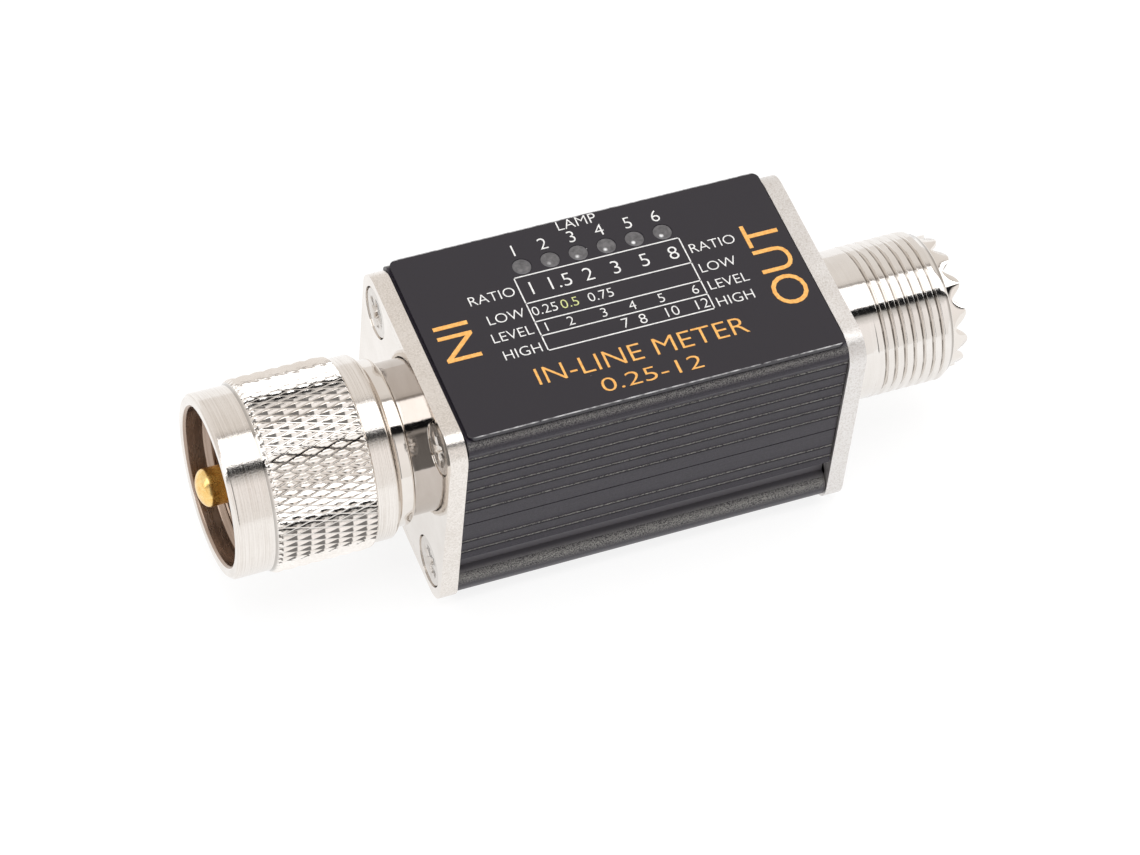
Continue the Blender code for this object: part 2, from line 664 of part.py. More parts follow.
def make_screws(body, label, face, outward):
    """Four screws and their countersinks in one flange; outward is 1 for +X and -1 for -X."""
    turn = AXIAL if outward > 0 else (0, -math.pi / 2, 0)
    for index, (y, z) in enumerate(flange_corners(), 1):
        place = station(face, y, z)
        hole = turned(f"{label}_countersink_{index}", countersink_profile(), place, None, SMALL_ROUND,
                      False, turn, cutters)
        cut(body, hole)
        screw = turned(f"{label}_screw_{index}", screw_profile(), place, STEEL, SMALL_ROUND, False, turn)
        depth = CROSS_DEPTH + OVERSHOOT
        middle = face + outward * (-SCREW_SINK - CROSS_DEPTH + depth / 2)
        outline = cross_outline(CROSS_TURNS[index - 1])
        place = station(middle, y, z)
        recess = plate(f"{label}_recess_{index}", outline, depth, place, None, AXIAL, cutters)
        cut(screw, recess)


def flange(name, middle, finish):
    """A square connector flange."""
    outline = across(rounded_square(FLANGE_SIDE, FLANGE_SIDE, FLANGE_CORNER))
    return plate(name, outline, FLANGE_THICK, station(middle), finish, AXIAL)


def make_plug():
    """Plug body, insulator and centre pin."""
    body = flange("plug_body", FLANGE_THICK / 2, NICKEL)
    root = FLANGE_THICK / 2
    core = [(root, 0), (root, NECK_RADIUS), (-NECK_LENGTH, NECK_RADIUS), (-NECK_LENGTH, TRACK_RADIUS),
            (-STOP_START, TRACK_RADIUS), (-STOP_START, STOP_RADIUS),
            (-STOP_START - STOP_LENGTH, STOP_RADIUS), (-STOP_START - STOP_LENGTH, SKIRT_RADIUS),
            (-SKIRT_LENGTH, SKIRT_RADIUS), (-SKIRT_LENGTH, 0)]
    join(body, turned("plug_core", core, station(0), None, ROUND, False, AXIAL, cutters))
    through = FEED_RADIUS + FIT_GAP
    inner = FLANGE_THICK + OVERSHOOT
    outer = -SKIRT_LENGTH - OVERSHOOT
    bore = [(inner, 0), (inner, through), (-SHELF, through), (-SHELF, SKIRT_BORE), (outer, SKIRT_BORE),
            (outer, 0)]
    cut(body, turned("plug_bore", bore, station(0), None, ROUND, False, AXIAL, cutters))
    make_screws(body, "plug", 0, -1)

    back = FLANGE_THICK + PLUG_INSULATOR_BACK
    hole = STEM_RADIUS + FIT_GAP
    wide = SKIRT_BORE - FIT_GAP
    front = -INSULATOR_FACE
    shelf = -SHELF - SEAT_GAP
    insulator = [(back, hole), (back, FEED_RADIUS), (shelf, FEED_RADIUS), (shelf, wide), (front, wide),
                 (front, hole)]
    turned("plug_insulator", insulator, station(0), FLUOROPOLYMER)

    end = back + SEAT_GAP + CUP_LENGTH
    floor = end - CUP_DEPTH
    tip = -PIN_LENGTH
    pin = [(floor, 0), (floor, CUP_BORE), (end, CUP_BORE), (end, CUP_RADIUS), (back + SEAT_GAP, CUP_RADIUS),
           (back + SEAT_GAP, STEM_RADIUS), (front - SEAT_GAP, STEM_RADIUS), (front - SEAT_GAP, PIN_RADIUS)]
    for i in range(PIN_DOME_STEPS):
        angle = math.radians(90 * i / PIN_DOME_STEPS)
        pin.append((tip + PIN_DOME * (1 - math.sin(angle)), PIN_RADIUS * math.cos(angle)))
    pin.append((tip, 0))
    turned("centre_pin", pin, station(0), GOLD, SMALL_ROUND * 2, False)


def make_nut():
    """The loose ring on the plug's neck, and the knurled nut that spins in front of it."""
    bore = (NECK_RADIUS + RUNNING_GAP) * RUN_SCALE
    start = -RING_START
    end = start - RING_LENGTH
    rim = RING_RADIUS - RING_EDGE
    ring = [(start, bore), (start, rim), (start - RING_EDGE, RING_RADIUS), (end + RING_EDGE, RING_RADIUS),
            (end, rim), (end, bore)]
    turned("nut_ring", ring, station(0), NICKEL)

    rear = -NUT_START - SEAT_GAP
    front = rear - NUT_LENGTH
    knurl_start = rear - NUT_REAR_BAND
    knurl_end = front + NUT_FRONT_BAND + NUT_KNURL_CHAMFER
    lip_start = -NUT_LIP_START
    lip_end = lip_start - NUT_LIP
    relief_end = lip_end - NUT_RELIEF
    mouth = front + NUT_MOUTH_DEPTH
    step = NUT_RELIEF_RADIUS - NUT_THREAD_RADIUS
    lip_bore = (TRACK_RADIUS + RUNNING_GAP) * RUN_SCALE
    nut = [(rear, bore), (rear, NUT_BAND_RADIUS - NUT_EDGE), (rear - NUT_EDGE, NUT_BAND_RADIUS),
           (knurl_start, NUT_BAND_RADIUS), (knurl_start - NUT_EDGE, NUT_KNURL_RADIUS),
           (knurl_end, NUT_KNURL_RADIUS), (front + NUT_FRONT_BAND, NUT_BAND_RADIUS),
           (front + NUT_EDGE, NUT_BAND_RADIUS), (front, NUT_BAND_RADIUS - NUT_EDGE / 2),
           (front, NUT_MOUTH_RADIUS + NUT_MOUTH_CHAMFER), (front + NUT_MOUTH_CHAMFER, NUT_MOUTH_RADIUS),
           (mouth, NUT_MOUTH_RADIUS), (mouth + step, NUT_THREAD_RADIUS),
           (relief_end - step, NUT_THREAD_RADIUS), (relief_end, NUT_RELIEF_RADIUS),
           (lip_end, NUT_RELIEF_RADIUS), (lip_end, lip_bore), (lip_start, lip_bore), (lip_start, bore)]
    turned("coupling_nut", nut, station(0), SATIN_NICKEL)


def cut_teeth(barrel, tip):
    """Lowers the rim's end face between the teeth, which makes round-topped teeth with one at the top."""
    for vertex in barrel.data.vertices:
        if vertex.co.z > (tip - RIM_LENGTH / 2) * MM:
            phase = TOOTH_COUNT * math.atan2(vertex.co.y, -vertex.co.x)
            vertex.co.z -= TOOTH_DEPTH * (1 - math.cos(phase)) / 2 * MM


def make_socket():
    """Socket body with its toothed rim, the insulator and the split contact."""
    body = flange("socket_body", SOCKET_FLANGE_BACK + FLANGE_THICK / 2, SATIN_NICKEL)
    place = station(SOCKET_FACE)
    tip = BARREL_END + RIM_LENGTH
    back = -FLANGE_THICK
    root = back + BARREL_SET
    through = FEED_RADIUS + FIT_GAP
    barrel = [(tip, RIM_RADIUS), (BARREL_END, RIM_RADIUS), (BARREL_END, RIM_RADIUS + RIM_LAND),
              (THREAD_END, BARREL_RADIUS), (THREAD_START, BARREL_RADIUS), (THREAD_START, NECK_RADIUS),
              (root, NECK_RADIUS), (root, through), (SOCKET_SHELF, through), (SOCKET_SHELF, SOCKET_BORE),
              (tip, SOCKET_BORE)]
    tube = turned("socket_barrel", barrel, place, None, TOOTH_COUNT * TOOTH_SIDES, True, AXIAL, cutters)
    cut_teeth(tube, tip)
    seat = NECK_RADIUS - BARREL_GRIP
    hole = [(OVERSHOOT, 0), (OVERSHOOT, seat), (back - OVERSHOOT, seat), (back - OVERSHOOT, 0)]
    cut(body, turned("barrel_hole", hole, place, None, ROUND, False, AXIAL, cutters))
    join(body, tube)
    make_screws(body, "socket", SOCKET_FACE, 1)

    wide = SOCKET_BORE - FIT_GAP
    hole = CONTACT_RADIUS + FIT_GAP
    shelf = SOCKET_SHELF + SEAT_GAP
    rear = back - SOCKET_INSULATOR_BACK
    insulator = [(SOCKET_FLOOR, hole), (SOCKET_FLOOR, wide), (shelf, wide), (shelf, FEED_RADIUS),
                 (rear, FEED_RADIUS), (rear, hole)]
    turned("socket_insulator", insulator, place, FLUOROPOLYMER)

    face = SOCKET_FLOOR - SEAT_GAP
    end = rear - SEAT_GAP - CUP_LENGTH
    deep = face - CONTACT_HOLE_DEPTH
    contact = [(deep, 0), (deep, CONTACT_BORE), (face, CONTACT_BORE), (face, CONTACT_RADIUS),
               (rear - SEAT_GAP, CONTACT_RADIUS), (rear - SEAT_GAP, CUP_RADIUS),
               (end, CUP_RADIUS), (end, CUP_BORE), (end + CUP_DEPTH, CUP_BORE), (end + CUP_DEPTH, 0)]
    contact_piece = turned("socket_contact", contact, place, GOLD, SMALL_ROUND * 2, False)
    slit = CONTACT_SLIT / 2
    reach = CONTACT_RADIUS + OVERSHOOT
    low = SOCKET_FACE + face - CONTACT_SLIT_LENGTH
    high = SOCKET_FACE + face + OVERSHOOT
    cut(contact_piece, box("contact_slit_y", (low, -reach, -slit), (high, reach, slit), None, cutters))
    cut(contact_piece, box("contact_slit_z", (low, -slit, -reach), (high, slit, reach), None, cutters))


make_case()
make_label()
make_board()
make_coupler()
make_plug()
make_nut()
make_socket()
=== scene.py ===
# %% [markdown]
# # A small in-line radio meter, finished piece by piece
#
# The object is a black ribbed case with a threaded plug on one end and a threaded socket on the other.
# Its solids come packed as a fixed frame. Each step below takes one piece or one finish, says what it is
# on the real object, how it could be made, and why it is made this way here.
#
# Every length is written in millimetres and turned into metres in one place. Points are given from the
# outer face of the plug's flange, along the signal line, because every turned piece is centred on it.

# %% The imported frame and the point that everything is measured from
import math
from contextlib import contextmanager

import bmesh
import bpy
from mathutils import Matrix, Vector


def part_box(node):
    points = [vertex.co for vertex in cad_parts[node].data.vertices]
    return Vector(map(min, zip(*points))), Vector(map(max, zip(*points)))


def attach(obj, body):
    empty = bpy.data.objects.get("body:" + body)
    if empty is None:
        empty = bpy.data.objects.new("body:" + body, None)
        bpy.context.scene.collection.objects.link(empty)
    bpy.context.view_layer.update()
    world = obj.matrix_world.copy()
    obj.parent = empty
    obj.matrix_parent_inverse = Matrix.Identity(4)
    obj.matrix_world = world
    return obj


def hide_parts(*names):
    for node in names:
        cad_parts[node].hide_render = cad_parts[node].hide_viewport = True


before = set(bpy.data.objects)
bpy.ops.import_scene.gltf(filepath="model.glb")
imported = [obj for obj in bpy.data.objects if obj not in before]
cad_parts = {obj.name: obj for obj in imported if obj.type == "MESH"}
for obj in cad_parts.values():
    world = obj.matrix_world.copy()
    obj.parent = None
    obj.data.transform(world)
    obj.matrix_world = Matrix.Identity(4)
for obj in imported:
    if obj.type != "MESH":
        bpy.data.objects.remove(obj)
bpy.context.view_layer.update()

MM = 0.001
FLANGE_THICK = 1.85
FLANGE_SIDE = 25.4
plug_low, plug_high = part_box("plug_body")
FACE = plug_high.x / MM - FLANGE_THICK
AXIS = (plug_low.z + plug_high.z) / 2 / MM
CASE_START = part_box("upper_shell")[0].x / MM - FACE
CASE_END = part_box("upper_shell")[1].x / MM - FACE
SOCKET_FACE = CASE_END + 0.1 + FLANGE_THICK


def at(x, y=0.0, z=0.0):
    """A point in the model's metres, from millimetres along, beside and above the signal line."""
    return Vector(((x + FACE) * MM, y * MM, (z + AXIS) * MM))


print("flange face at", round(FACE, 3), "mm, signal line at", round(AXIS, 3), "mm")
print("socket face", round(SOCKET_FACE, 3), "mm from the plug's")

# %% [markdown]
# ## Wires that read like sums
#
# A material is a small calculation done at every point of a surface. In Blender each step is a node, and
# naming and linking nodes one at a time hides what they work out. The class below wraps one socket, so
# that `1 - mask * 0.4` adds its own nodes. The same class serves geometry nodes, because both kinds of
# tree share the Math node.

# %% A socket that can be added, multiplied and compared
class Flow:
    """One value on its way through a node tree."""

    def __init__(self, maker, socket):
        self.maker = maker
        self.socket = socket

    def __add__(self, other):
        return self.maker.math("ADD", self, other)

    def __sub__(self, other):
        return self.maker.math("SUBTRACT", self, other)

    def __rsub__(self, other):
        return self.maker.math("SUBTRACT", other, self)

    def __mul__(self, other):
        return self.maker.math("MULTIPLY", self, other)

    def __truediv__(self, other):
        return self.maker.math("DIVIDE", self, other)

    def __pow__(self, other):
        return self.maker.math("POWER", self, other)

    def __gt__(self, other):
        return self.maker.math("GREATER_THAN", self, other)

    def __lt__(self, other):
        return self.maker.math("LESS_THAN", self, other)

    __radd__ = __add__
    __rmul__ = __mul__


print("sums on one socket are ready")


# %% A tree that adds its own nodes
class Tree:
    """A node tree with one way to add a node: its type, its settings, then its sockets."""

    def __init__(self, tree):
        self.tree = tree

    def node(self, kind, sockets=None, stops=None, out=0, **settings):
        made = self.tree.nodes.new(kind)
        for setting, value in settings.items():
            setattr(made, setting, value)
        if stops:
            ramp = made.color_ramp.elements
            while len(ramp) < len(stops):
                ramp.new(0.5)
            for element, (place, colour) in zip(ramp, stops):
                element.position = place
                element.color = (*colour, 1.0)
        for socket, value in (sockets or {}).items():
            self.join(value, made.inputs[socket])
        return Flow(self, made.outputs[out])

    def join(self, value, socket):
        if isinstance(value, Flow):
            self.tree.links.new(value.socket, socket)
        else:
            socket.default_value = value

    def math(self, operation, *terms, clamp=False):
        sockets = dict(enumerate(terms))
        return self.node("ShaderNodeMath", sockets, operation=operation, use_clamp=clamp)

    def clamped(self, value):
        return self.math("ADD", value, 0.0, clamp=True)

    def split(self, vector):
        """The three parts of a vector."""
        parts = self.node("ShaderNodeSeparateXYZ", {0: vector}).socket.node
        return [Flow(self, output) for output in parts.outputs]

    def bundled(self, x, y, z):
        return self.node("ShaderNodeCombineXYZ", {0: x, 1: y, 2: z})


print("trees can add their own nodes")

# %% [markdown]
# ## A finish and its patterns
#
# What is the same all over a surface is set straight on the shader's own socket. What varies, such as the
# turning marks on metal, is worked out from Object coordinates, so it stays with the piece when it moves.
# Three patterns do nearly all the work: grain (fine speckle), lines drawn along one direction, and soft
# patches that are much larger than either.

# %% The finish maker
class Finish(Tree):
    """A Principled material: constants first, then whatever varies."""

    def __init__(self, name, **constants):
        self.material = bpy.data.materials.new(name)
        self.material.use_nodes = True
        super().__init__(self.material.node_tree)
        self.shader = self.tree.nodes["Principled BSDF"]
        for socket, value in constants.items():
            self.shader.inputs[socket.replace("_", " ")].default_value = value
        here = self.node("ShaderNodeTexCoord", out=3)
        self.x, self.y, self.z = self.split(here)
        self.place = here

    def pattern(self, size, stretch=(1, 1, 1), detail=2.0, rough=0.5, warp=0.0):
        """Noise whose features are about that many millimetres, longer where stretch is above 1."""
        parts = [part / (size * MM * long) for part, long in zip((self.x, self.y, self.z), stretch)]
        return self.noise(parts, detail, rough, warp)

    def rings(self, size):
        """Marks that run round the signal line: they vary along it and only slowly around it."""
        return self.noise((self.x / (size * MM), self.y / (9 * MM), self.z / (9 * MM)), 2.0, 0.55, 0.0)

    def noise(self, parts, detail, rough, warp):
        sockets = {"Vector": self.bundled(*parts), "Scale": 1.0, "Detail": detail, "Roughness": rough,
                   "Distortion": warp}
        return self.node("ShaderNodeTexNoise", sockets)

    def distance(self, a, b):
        """How far a point is from the middle, from its two parts."""
        return self.math("SQRT", a * a + b * b)

    def between(self, amount, low, high):
        """Low where the amount is 0, high where it is 1."""
        return amount * (high - low) + low

    def mixed(self, amount, first, second):
        """A colour between two colours."""
        sockets = {0: self.clamped(amount), 6: first, 7: second}
        return self.node("ShaderNodeMix", sockets, out=2, data_type="RGBA")

    def feed(self, **flows):
        for socket, value in flows.items():
            self.join(value, self.shader.inputs[socket.replace("_", " ")])

    def bump(self, height, size, strength=1.0):
        """Relief whose full height is that many millimetres."""
        relief = self.node("ShaderNodeBump", {"Strength": strength, "Distance": size * MM, "Height": height})
        self.feed(Normal=relief)


def rgb(red, green, blue):
    return (red, green, blue, 1.0)


print("finish maker is ready")

# %% [markdown]
# ## Nickel, in several conditions
#
# The plug's body is bright, almost a mirror, and the socket's thread nearly so. The nut is turned, with
# fine rings that shade it. The socket's flange was cast and plated, so it is grainy. The nut's bore is
# brown and dull. Real nickel is a little warm, which is what tells it from chrome.
#
# All of them are one recipe with different amounts. Between the knurl's diamonds and at the bottom of the
# thread those two finishes turn darker nearer to the signal line than their `valley`: painted shade in the
# grooves. Measuring that distance from Object coordinates keeps the painted shade exactly in the grooves. The
# plug's neck is toned darker than the flange: painted shade, where it sits between the flange and the nut.

# %% Bright, turned, dull and cast nickel
VALLEY_FADE = 0.12


def nickel(name, rough, ring_size, ring_height, grain_size, grain_height, tone=(0.85, 0.81, 0.77),
           speckle=0.0, brushed=0.0, valley=0.0, groove_shade=(0.52, 0.49, 0.46)):
    """Plated metal, toned by its rings (brushed) and its grain (speckle), with painted shade in its grooves
    below the valley radius.
    """
    made = Finish(name, Metallic=1.0)
    rings = made.rings(ring_size)
    grain = made.pattern(grain_size)
    patches = made.pattern(3.5, detail=3.0)
    deep = (tone[0] * 0.80, tone[1] * 0.775, tone[2] * 0.745)
    shade = 0.75 + (patches - 0.5) * 0.9 + (grain - 0.5) * speckle + (rings - 0.5) * brushed
    colour = made.mixed(shade, rgb(*deep), rgb(*tone))
    # painted shade: darker in the grooves, below the valley radius
    if valley:
        radius = made.distance(made.y, made.z - AXIS * MM) / MM
        colour = made.mixed((radius - valley) / VALLEY_FADE, rgb(*groove_shade), colour)
    made.feed(Base_Color=colour,
              Roughness=made.between(patches, rough * 0.7, rough * 1.3) + (rings - 0.5) * 0.10)
    made.bump(rings * ring_height + grain * grain_height, 1.0)
    return made


bright_nickel = nickel("bright_nickel", 0.06, 0.22, 0.0010, 0.9, 0.005)
turned_nickel = nickel("turned_nickel", 0.14, 0.09, 0.0035, 0.20, 0.0060, speckle=0.5, brushed=2.4)
knurl_nickel = nickel("knurl_nickel", 0.10, 0.20, 0.0010, 0.22, 0.007, (0.97, 0.935, 0.90),
                      speckle=0.8, valley=9.57)
bore_nickel = nickel("bore_nickel", 0.27, 0.12, 0.0045, 0.5, 0.004, (0.42, 0.325, 0.265), brushed=3.0)
thread_nickel = nickel("thread_nickel", 0.085, 0.25, 0.0008, 0.25, 0.003, (0.85, 0.82, 0.79),
                       brushed=0.4, valley=7.61, groove_shade=(0.43, 0.40, 0.37))
# painted shade: the neck's darker tone stands for the shade between the flange and the nut
neck_nickel = nickel("neck_nickel", 0.07, 0.22, 0.0010, 0.9, 0.005, (0.63, 0.59, 0.56))
edge_nickel = nickel("edge_nickel", 0.22, 0.40, 0.0010, 0.15, 0.014, speckle=2.2)
cast_nickel = nickel("cast_nickel", 0.42, 0.50, 0.0010, 0.16, 0.034, (0.80, 0.78, 0.765), speckle=3.2)
screw_metal = nickel("screw_metal", 0.17, 0.30, 0.0005, 0.30, 0.012, (0.70, 0.665, 0.63), speckle=0.8)
print("nickel finishes:", [m.name for m in bpy.data.materials if "nickel" in m.name])

# %% [markdown]
# ## Gold, and the white insulators
#
# The pin is gold over brass. Its plating is thin and slightly uneven, so its colour moves between pale yellow
# and orange. The dome is painted paler than the rest: a painted highlight where it catches the light. The
# insulators are white fluoropolymer, which looks waxy: broad soft sheen, no grain.

# %% Gold plate and fluoropolymer
PIN_DOME, DOME_FADE = -20.35, 0.25
gold = Finish("thin_gold", Metallic=1.0)
blotches = gold.pattern(0.55, detail=3.0, warp=0.4)
# painted highlight: the dome's colours are paler than the barrel's
dome_highlight = gold.clamped((FACE + PIN_DOME - gold.x / MM) / DOME_FADE)
deep_gold = gold.mixed(dome_highlight, rgb(0.70, 0.35, 0.06), rgb(0.86, 0.50, 0.14))
pale_gold = gold.mixed(dome_highlight, rgb(0.95, 0.62, 0.17), rgb(1.0, 0.78, 0.36))
gold.feed(Base_Color=gold.mixed(blotches * 1.8 - 0.4, deep_gold, pale_gold),
          Roughness=gold.between(blotches, 0.16, 0.36))
gold.bump(gold.pattern(0.18), 0.006)

insulator = Finish("white_fluoropolymer", Specular_IOR_Level=0.45)
haze = insulator.pattern(2.0, detail=3.0)
insulator.feed(Base_Color=insulator.mixed(haze, rgb(0.80, 0.79, 0.75), rgb(0.88, 0.875, 0.85)),
               Roughness=insulator.between(haze, 0.36, 0.52))
insulator.bump(insulator.rings(0.15), 0.004)
print("gold and insulator are ready")

# %% [markdown]
# ## Black anodising
#
# The case is extruded aluminium, anodised black. The die leaves fine lines along its whole length, and
# anodising gives a satin, slightly sparkling surface. The lines are noise stretched sixty times along X.
# The sparkle is a second, very fine grain. Along its top corners, its foot beads and the lips' crests the
# grain is painted pale: painted highlights where those edges would catch the light. The channel above the
# foot is painted greyer: painted light in its shaded recess. The lips themselves are real geometry.
#
# The sides aren't quite flat: they are crowned by a few hundredths, and how far a point stands out from
# that crown tells a crest from the wall between two lips.

# %% The case's finish
HALF_WIDTH, CASE_TOP, CROWN = 12.5, 12.6, 0.06
LIPS_LOW, LIPS_HIGH = -4.6, 10.8
CHANNEL_WALL, CHANNEL_LOW, CHANNEL_HIGH = 11.9, -9.0, -5.2
anodised = Finish("black_anodised_satin", Metallic=0.0, Specular_IOR_Level=0.50)
die_lines = anodised.pattern(0.16, stretch=(60, 1, 1), detail=2.0)
sparkle = anodised.pattern(0.10, detail=1.0)
wear = anodised.pattern(6.0, stretch=(3, 1, 1), detail=4.0)
beside = anodised.math("ABSOLUTE", anodised.y) / MM
above = anodised.z / MM - AXIS


def highlight_line(y, z, reach):
    """1 on a painted highlight line along the case, fading to 0 at that many millimetres from it."""
    return anodised.clamped(1.0 - anodised.distance(beside - y, above - z) / reach)


proud = beside + above * above * (CROWN / CASE_TOP ** 2) - HALF_WIDTH
# painted highlights: the lips' crests, the top corners and the foot beads are painted pale where they would
# catch the light
crest_highlight = (proud > -0.12) * (above > LIPS_LOW) * (above < LIPS_HIGH)
top_corner_highlight = highlight_line(12.05, 12.3, 0.60) * 0.75
foot_bead_highlight = highlight_line(12.29, -8.93, 0.95) * 1.1
painted_highlight = top_corner_highlight + foot_bead_highlight + crest_highlight
painted_highlight = anodised.clamped(painted_highlight) * anodised.clamped(sparkle * 3.4 - 1.15)
plain = anodised.mixed(sparkle * 2.8 - 1.1, rgb(0.0045, 0.0020, 0.0085), rgb(0.0270, 0.0200, 0.0330))
# painted light: the channel above the foot is painted greyer than its shade would be
channel_painted_light = (beside < CHANNEL_WALL) * (above < CHANNEL_HIGH) * (above > CHANNEL_LOW)
plain = anodised.mixed(channel_painted_light, plain, rgb(0.085, 0.080, 0.090))
anodised.feed(Base_Color=anodised.mixed(painted_highlight, plain, rgb(0.262, 0.256, 0.238)),
              Roughness=anodised.between(die_lines, 0.30, 0.46) + (wear - 0.5) * 0.06)
anodised.bump(die_lines * 0.5 + sparkle * 0.8, 0.016)
print("anodised finish is ready")

# %% [markdown]
# ## The cover plate and its print
#
# The cover is a glossy black film with three inks. Under a soft light its gloss is the only thing that makes
# it charcoal rather than black. A few dust specks keep it from looking drawn, and along its two long upper
# edges the black is painted pale in patches: a painted highlight on the edge. The inks lie a few hundredths
# of a millimetre proud and are a little uneven, as screen print is.

# %% Film and inks
EDGE_BESIDE, EDGE_ABOVE = 11.70, 13.10
film = Finish("gloss_film", Specular_IOR_Level=0.55)
cloud = film.pattern(9.0, detail=2.0)
dust = film.node("ShaderNodeTexVoronoi", {"Vector": film.place, "Scale": 420.0, "Randomness": 1.0})
rare = film.pattern(2.6, detail=0.0) > 0.56
specks = (dust < 0.035) * rare
# painted highlight: the long upper edges are paled in patches
long_edge = (film.math("ABSOLUTE", film.y) > EDGE_BESIDE * MM) * (film.z > (AXIS + EDGE_ABOVE) * MM)
edge_highlight = long_edge * film.clamped(film.pattern(0.9, detail=3.0) * 3.2 - 1.0)
specks_and_edge_highlight = film.math("MAXIMUM", specks, edge_highlight)
film.feed(Base_Color=film.mixed(specks_and_edge_highlight, rgb(0.0110, 0.0088, 0.0150), rgb(0.50, 0.50, 0.51)),
          Roughness=film.between(cloud, 0.10, 0.17) + specks * 0.4)
film.bump(film.pattern(4.0, detail=2.0), 0.010)


def ink(name, thin, full):
    """Screen-printed ink, paler where it is thin."""
    made = Finish(name, Specular_IOR_Level=0.4)
    cover = made.pattern(0.35, detail=3.0)
    made.feed(Base_Color=made.mixed(cover * 2.2 - 0.5, rgb(*thin), rgb(*full)),
              Roughness=made.between(cover, 0.34, 0.5))
    made.bump(made.pattern(0.2), 0.003)
    return made


white_ink = ink("white_ink", (0.60, 0.60, 0.60), (0.88, 0.88, 0.87))
orange_ink = ink("orange_ink", (0.72, 0.31, 0.060), (0.90, 0.50, 0.15))
lime_ink = ink("lime_ink", (0.50, 0.54, 0.22), (0.70, 0.74, 0.34))
print("film and inks are ready")

# %% [markdown]
# ## Turned pieces
#
# A lathe makes a piece from its profile, and so does this helper: it carries each profile point round the
# signal line. Blender's Screw modifier could do it, but here the rings are wanted exactly where a thread
# or a knurl will later be pressed in, so the mesh is written directly.
#
# No real edge is perfectly sharp. `eased` swaps each corner of a profile for a tiny curve with a
# supporting ring on both sides, which catches a line of light and keeps the flats looking flat.

# %% Easing a profile and turning it
STEPS_ROUND = 192
NEARLY_STRAIGHT = math.radians(168)


@contextmanager
def opened(mesh):
    """Opens a mesh for editing and writes it back afterwards."""
    work = bmesh.new()
    work.from_mesh(mesh)
    yield work
    work.to_mesh(mesh)
    work.free()


def eased(profile, ease=0.09, closed=True):
    """The profile with small round corners."""
    out = []
    last = len(profile) - 1
    for i, point in enumerate(profile):
        here = Vector(point)
        back = Vector(profile[i - 1]) - here
        ahead = Vector(profile[(i + 1) % len(profile)]) - here
        open_end = not closed and i in (0, last)
        if open_end or back.angle(ahead) > NEARLY_STRAIGHT:
            out.append(tuple(here))
            continue
        reach = min(ease, back.length * 0.28, ahead.length * 0.28)
        back, ahead = back.normalized() * reach, ahead.normalized() * reach
        out += [tuple(here + back * 1.6), tuple(here + back)]
        for t in (1 / 3, 2 / 3):
            out.append(tuple(here + back * (1 - t) ** 2 + ahead * t ** 2))
        out += [tuple(here + ahead), tuple(here + ahead * 1.6)]
    return out


def stretch_of(first, last, step):
    """Evenly spaced profile points along a straight stretch, both ends left out."""
    count = max(2, round(math.dist(first, last) / step))
    return [tuple(Vector(first).lerp(Vector(last), i / count)) for i in range(1, count)]


print("a right-angled corner becomes", len(eased([(0, 0), (1, 0), (1, 1)])) // 3, "points")


# %% Showing a mesh
def smoothed(mesh, angle):
    """Shades a mesh smooth, except along edges that turn by more than that many degrees."""
    mesh.shade_smooth()
    mesh.set_sharp_from_angle(angle=math.radians(angle))


def shown(name, mesh, finish, angle=32):
    """Puts a mesh in the scene as a piece at the origin, with faces outwards and smooth where round."""
    with opened(mesh) as work:
        bmesh.ops.recalc_face_normals(work, faces=work.faces)
    smoothed(mesh, angle)
    mesh.materials.clear()
    mesh.materials.append(finish.material)
    piece = bpy.data.objects.new(name, mesh)
    bpy.context.scene.collection.objects.link(piece)
    return piece


print("showing helper is ready")


# %% Turning a profile
def turned(name, profile, finish, sides=STEPS_ROUND, closed=True):
    """Carries (station, radius) points round the signal line; an open profile starts and ends on it."""
    points, rings = [], []
    for x, radius in profile:
        if radius < 1e-6:
            rings.append([len(points)] * sides)
            points.append(at(x))
            continue
        rings.append(range(len(points), len(points) + sides))
        for k in range(sides):
            angle = 2 * math.pi * k / sides
            points.append(at(x, radius * math.sin(angle), radius * math.cos(angle)))
    pairs = list(zip(rings, rings[1:]))
    if closed:
        pairs.append((rings[-1], rings[0]))
    faces = []
    for first, second in pairs:
        for k in range(sides):
            m = (k + 1) % sides
            face = [first[k], first[m], second[m], second[k]]
            faces.append(list(dict.fromkeys(face)))
    mesh = bpy.data.meshes.new(name)
    mesh.from_pydata(points, [], [face for face in faces if len(face) > 2])
    return shown(name, mesh, finish)


print("turning helper is ready,", STEPS_ROUND, "steps to a round")

# %% [markdown]
# ## Rules: geometry nodes for what repeats
#
# A knurl, a thread and a row of teeth each follow one short rule, so each is a small tree of geometry
# nodes with its sizes as named inputs. A tree is set up on a piece, evaluated once, and its result kept
# as a plain mesh, because the finished model carries no live modifiers.

# %% The rule maker
SOCKET_KINDS = {int: "NodeSocketInt", float: "NodeSocketFloat", bpy.types.Material: "NodeSocketMaterial"}


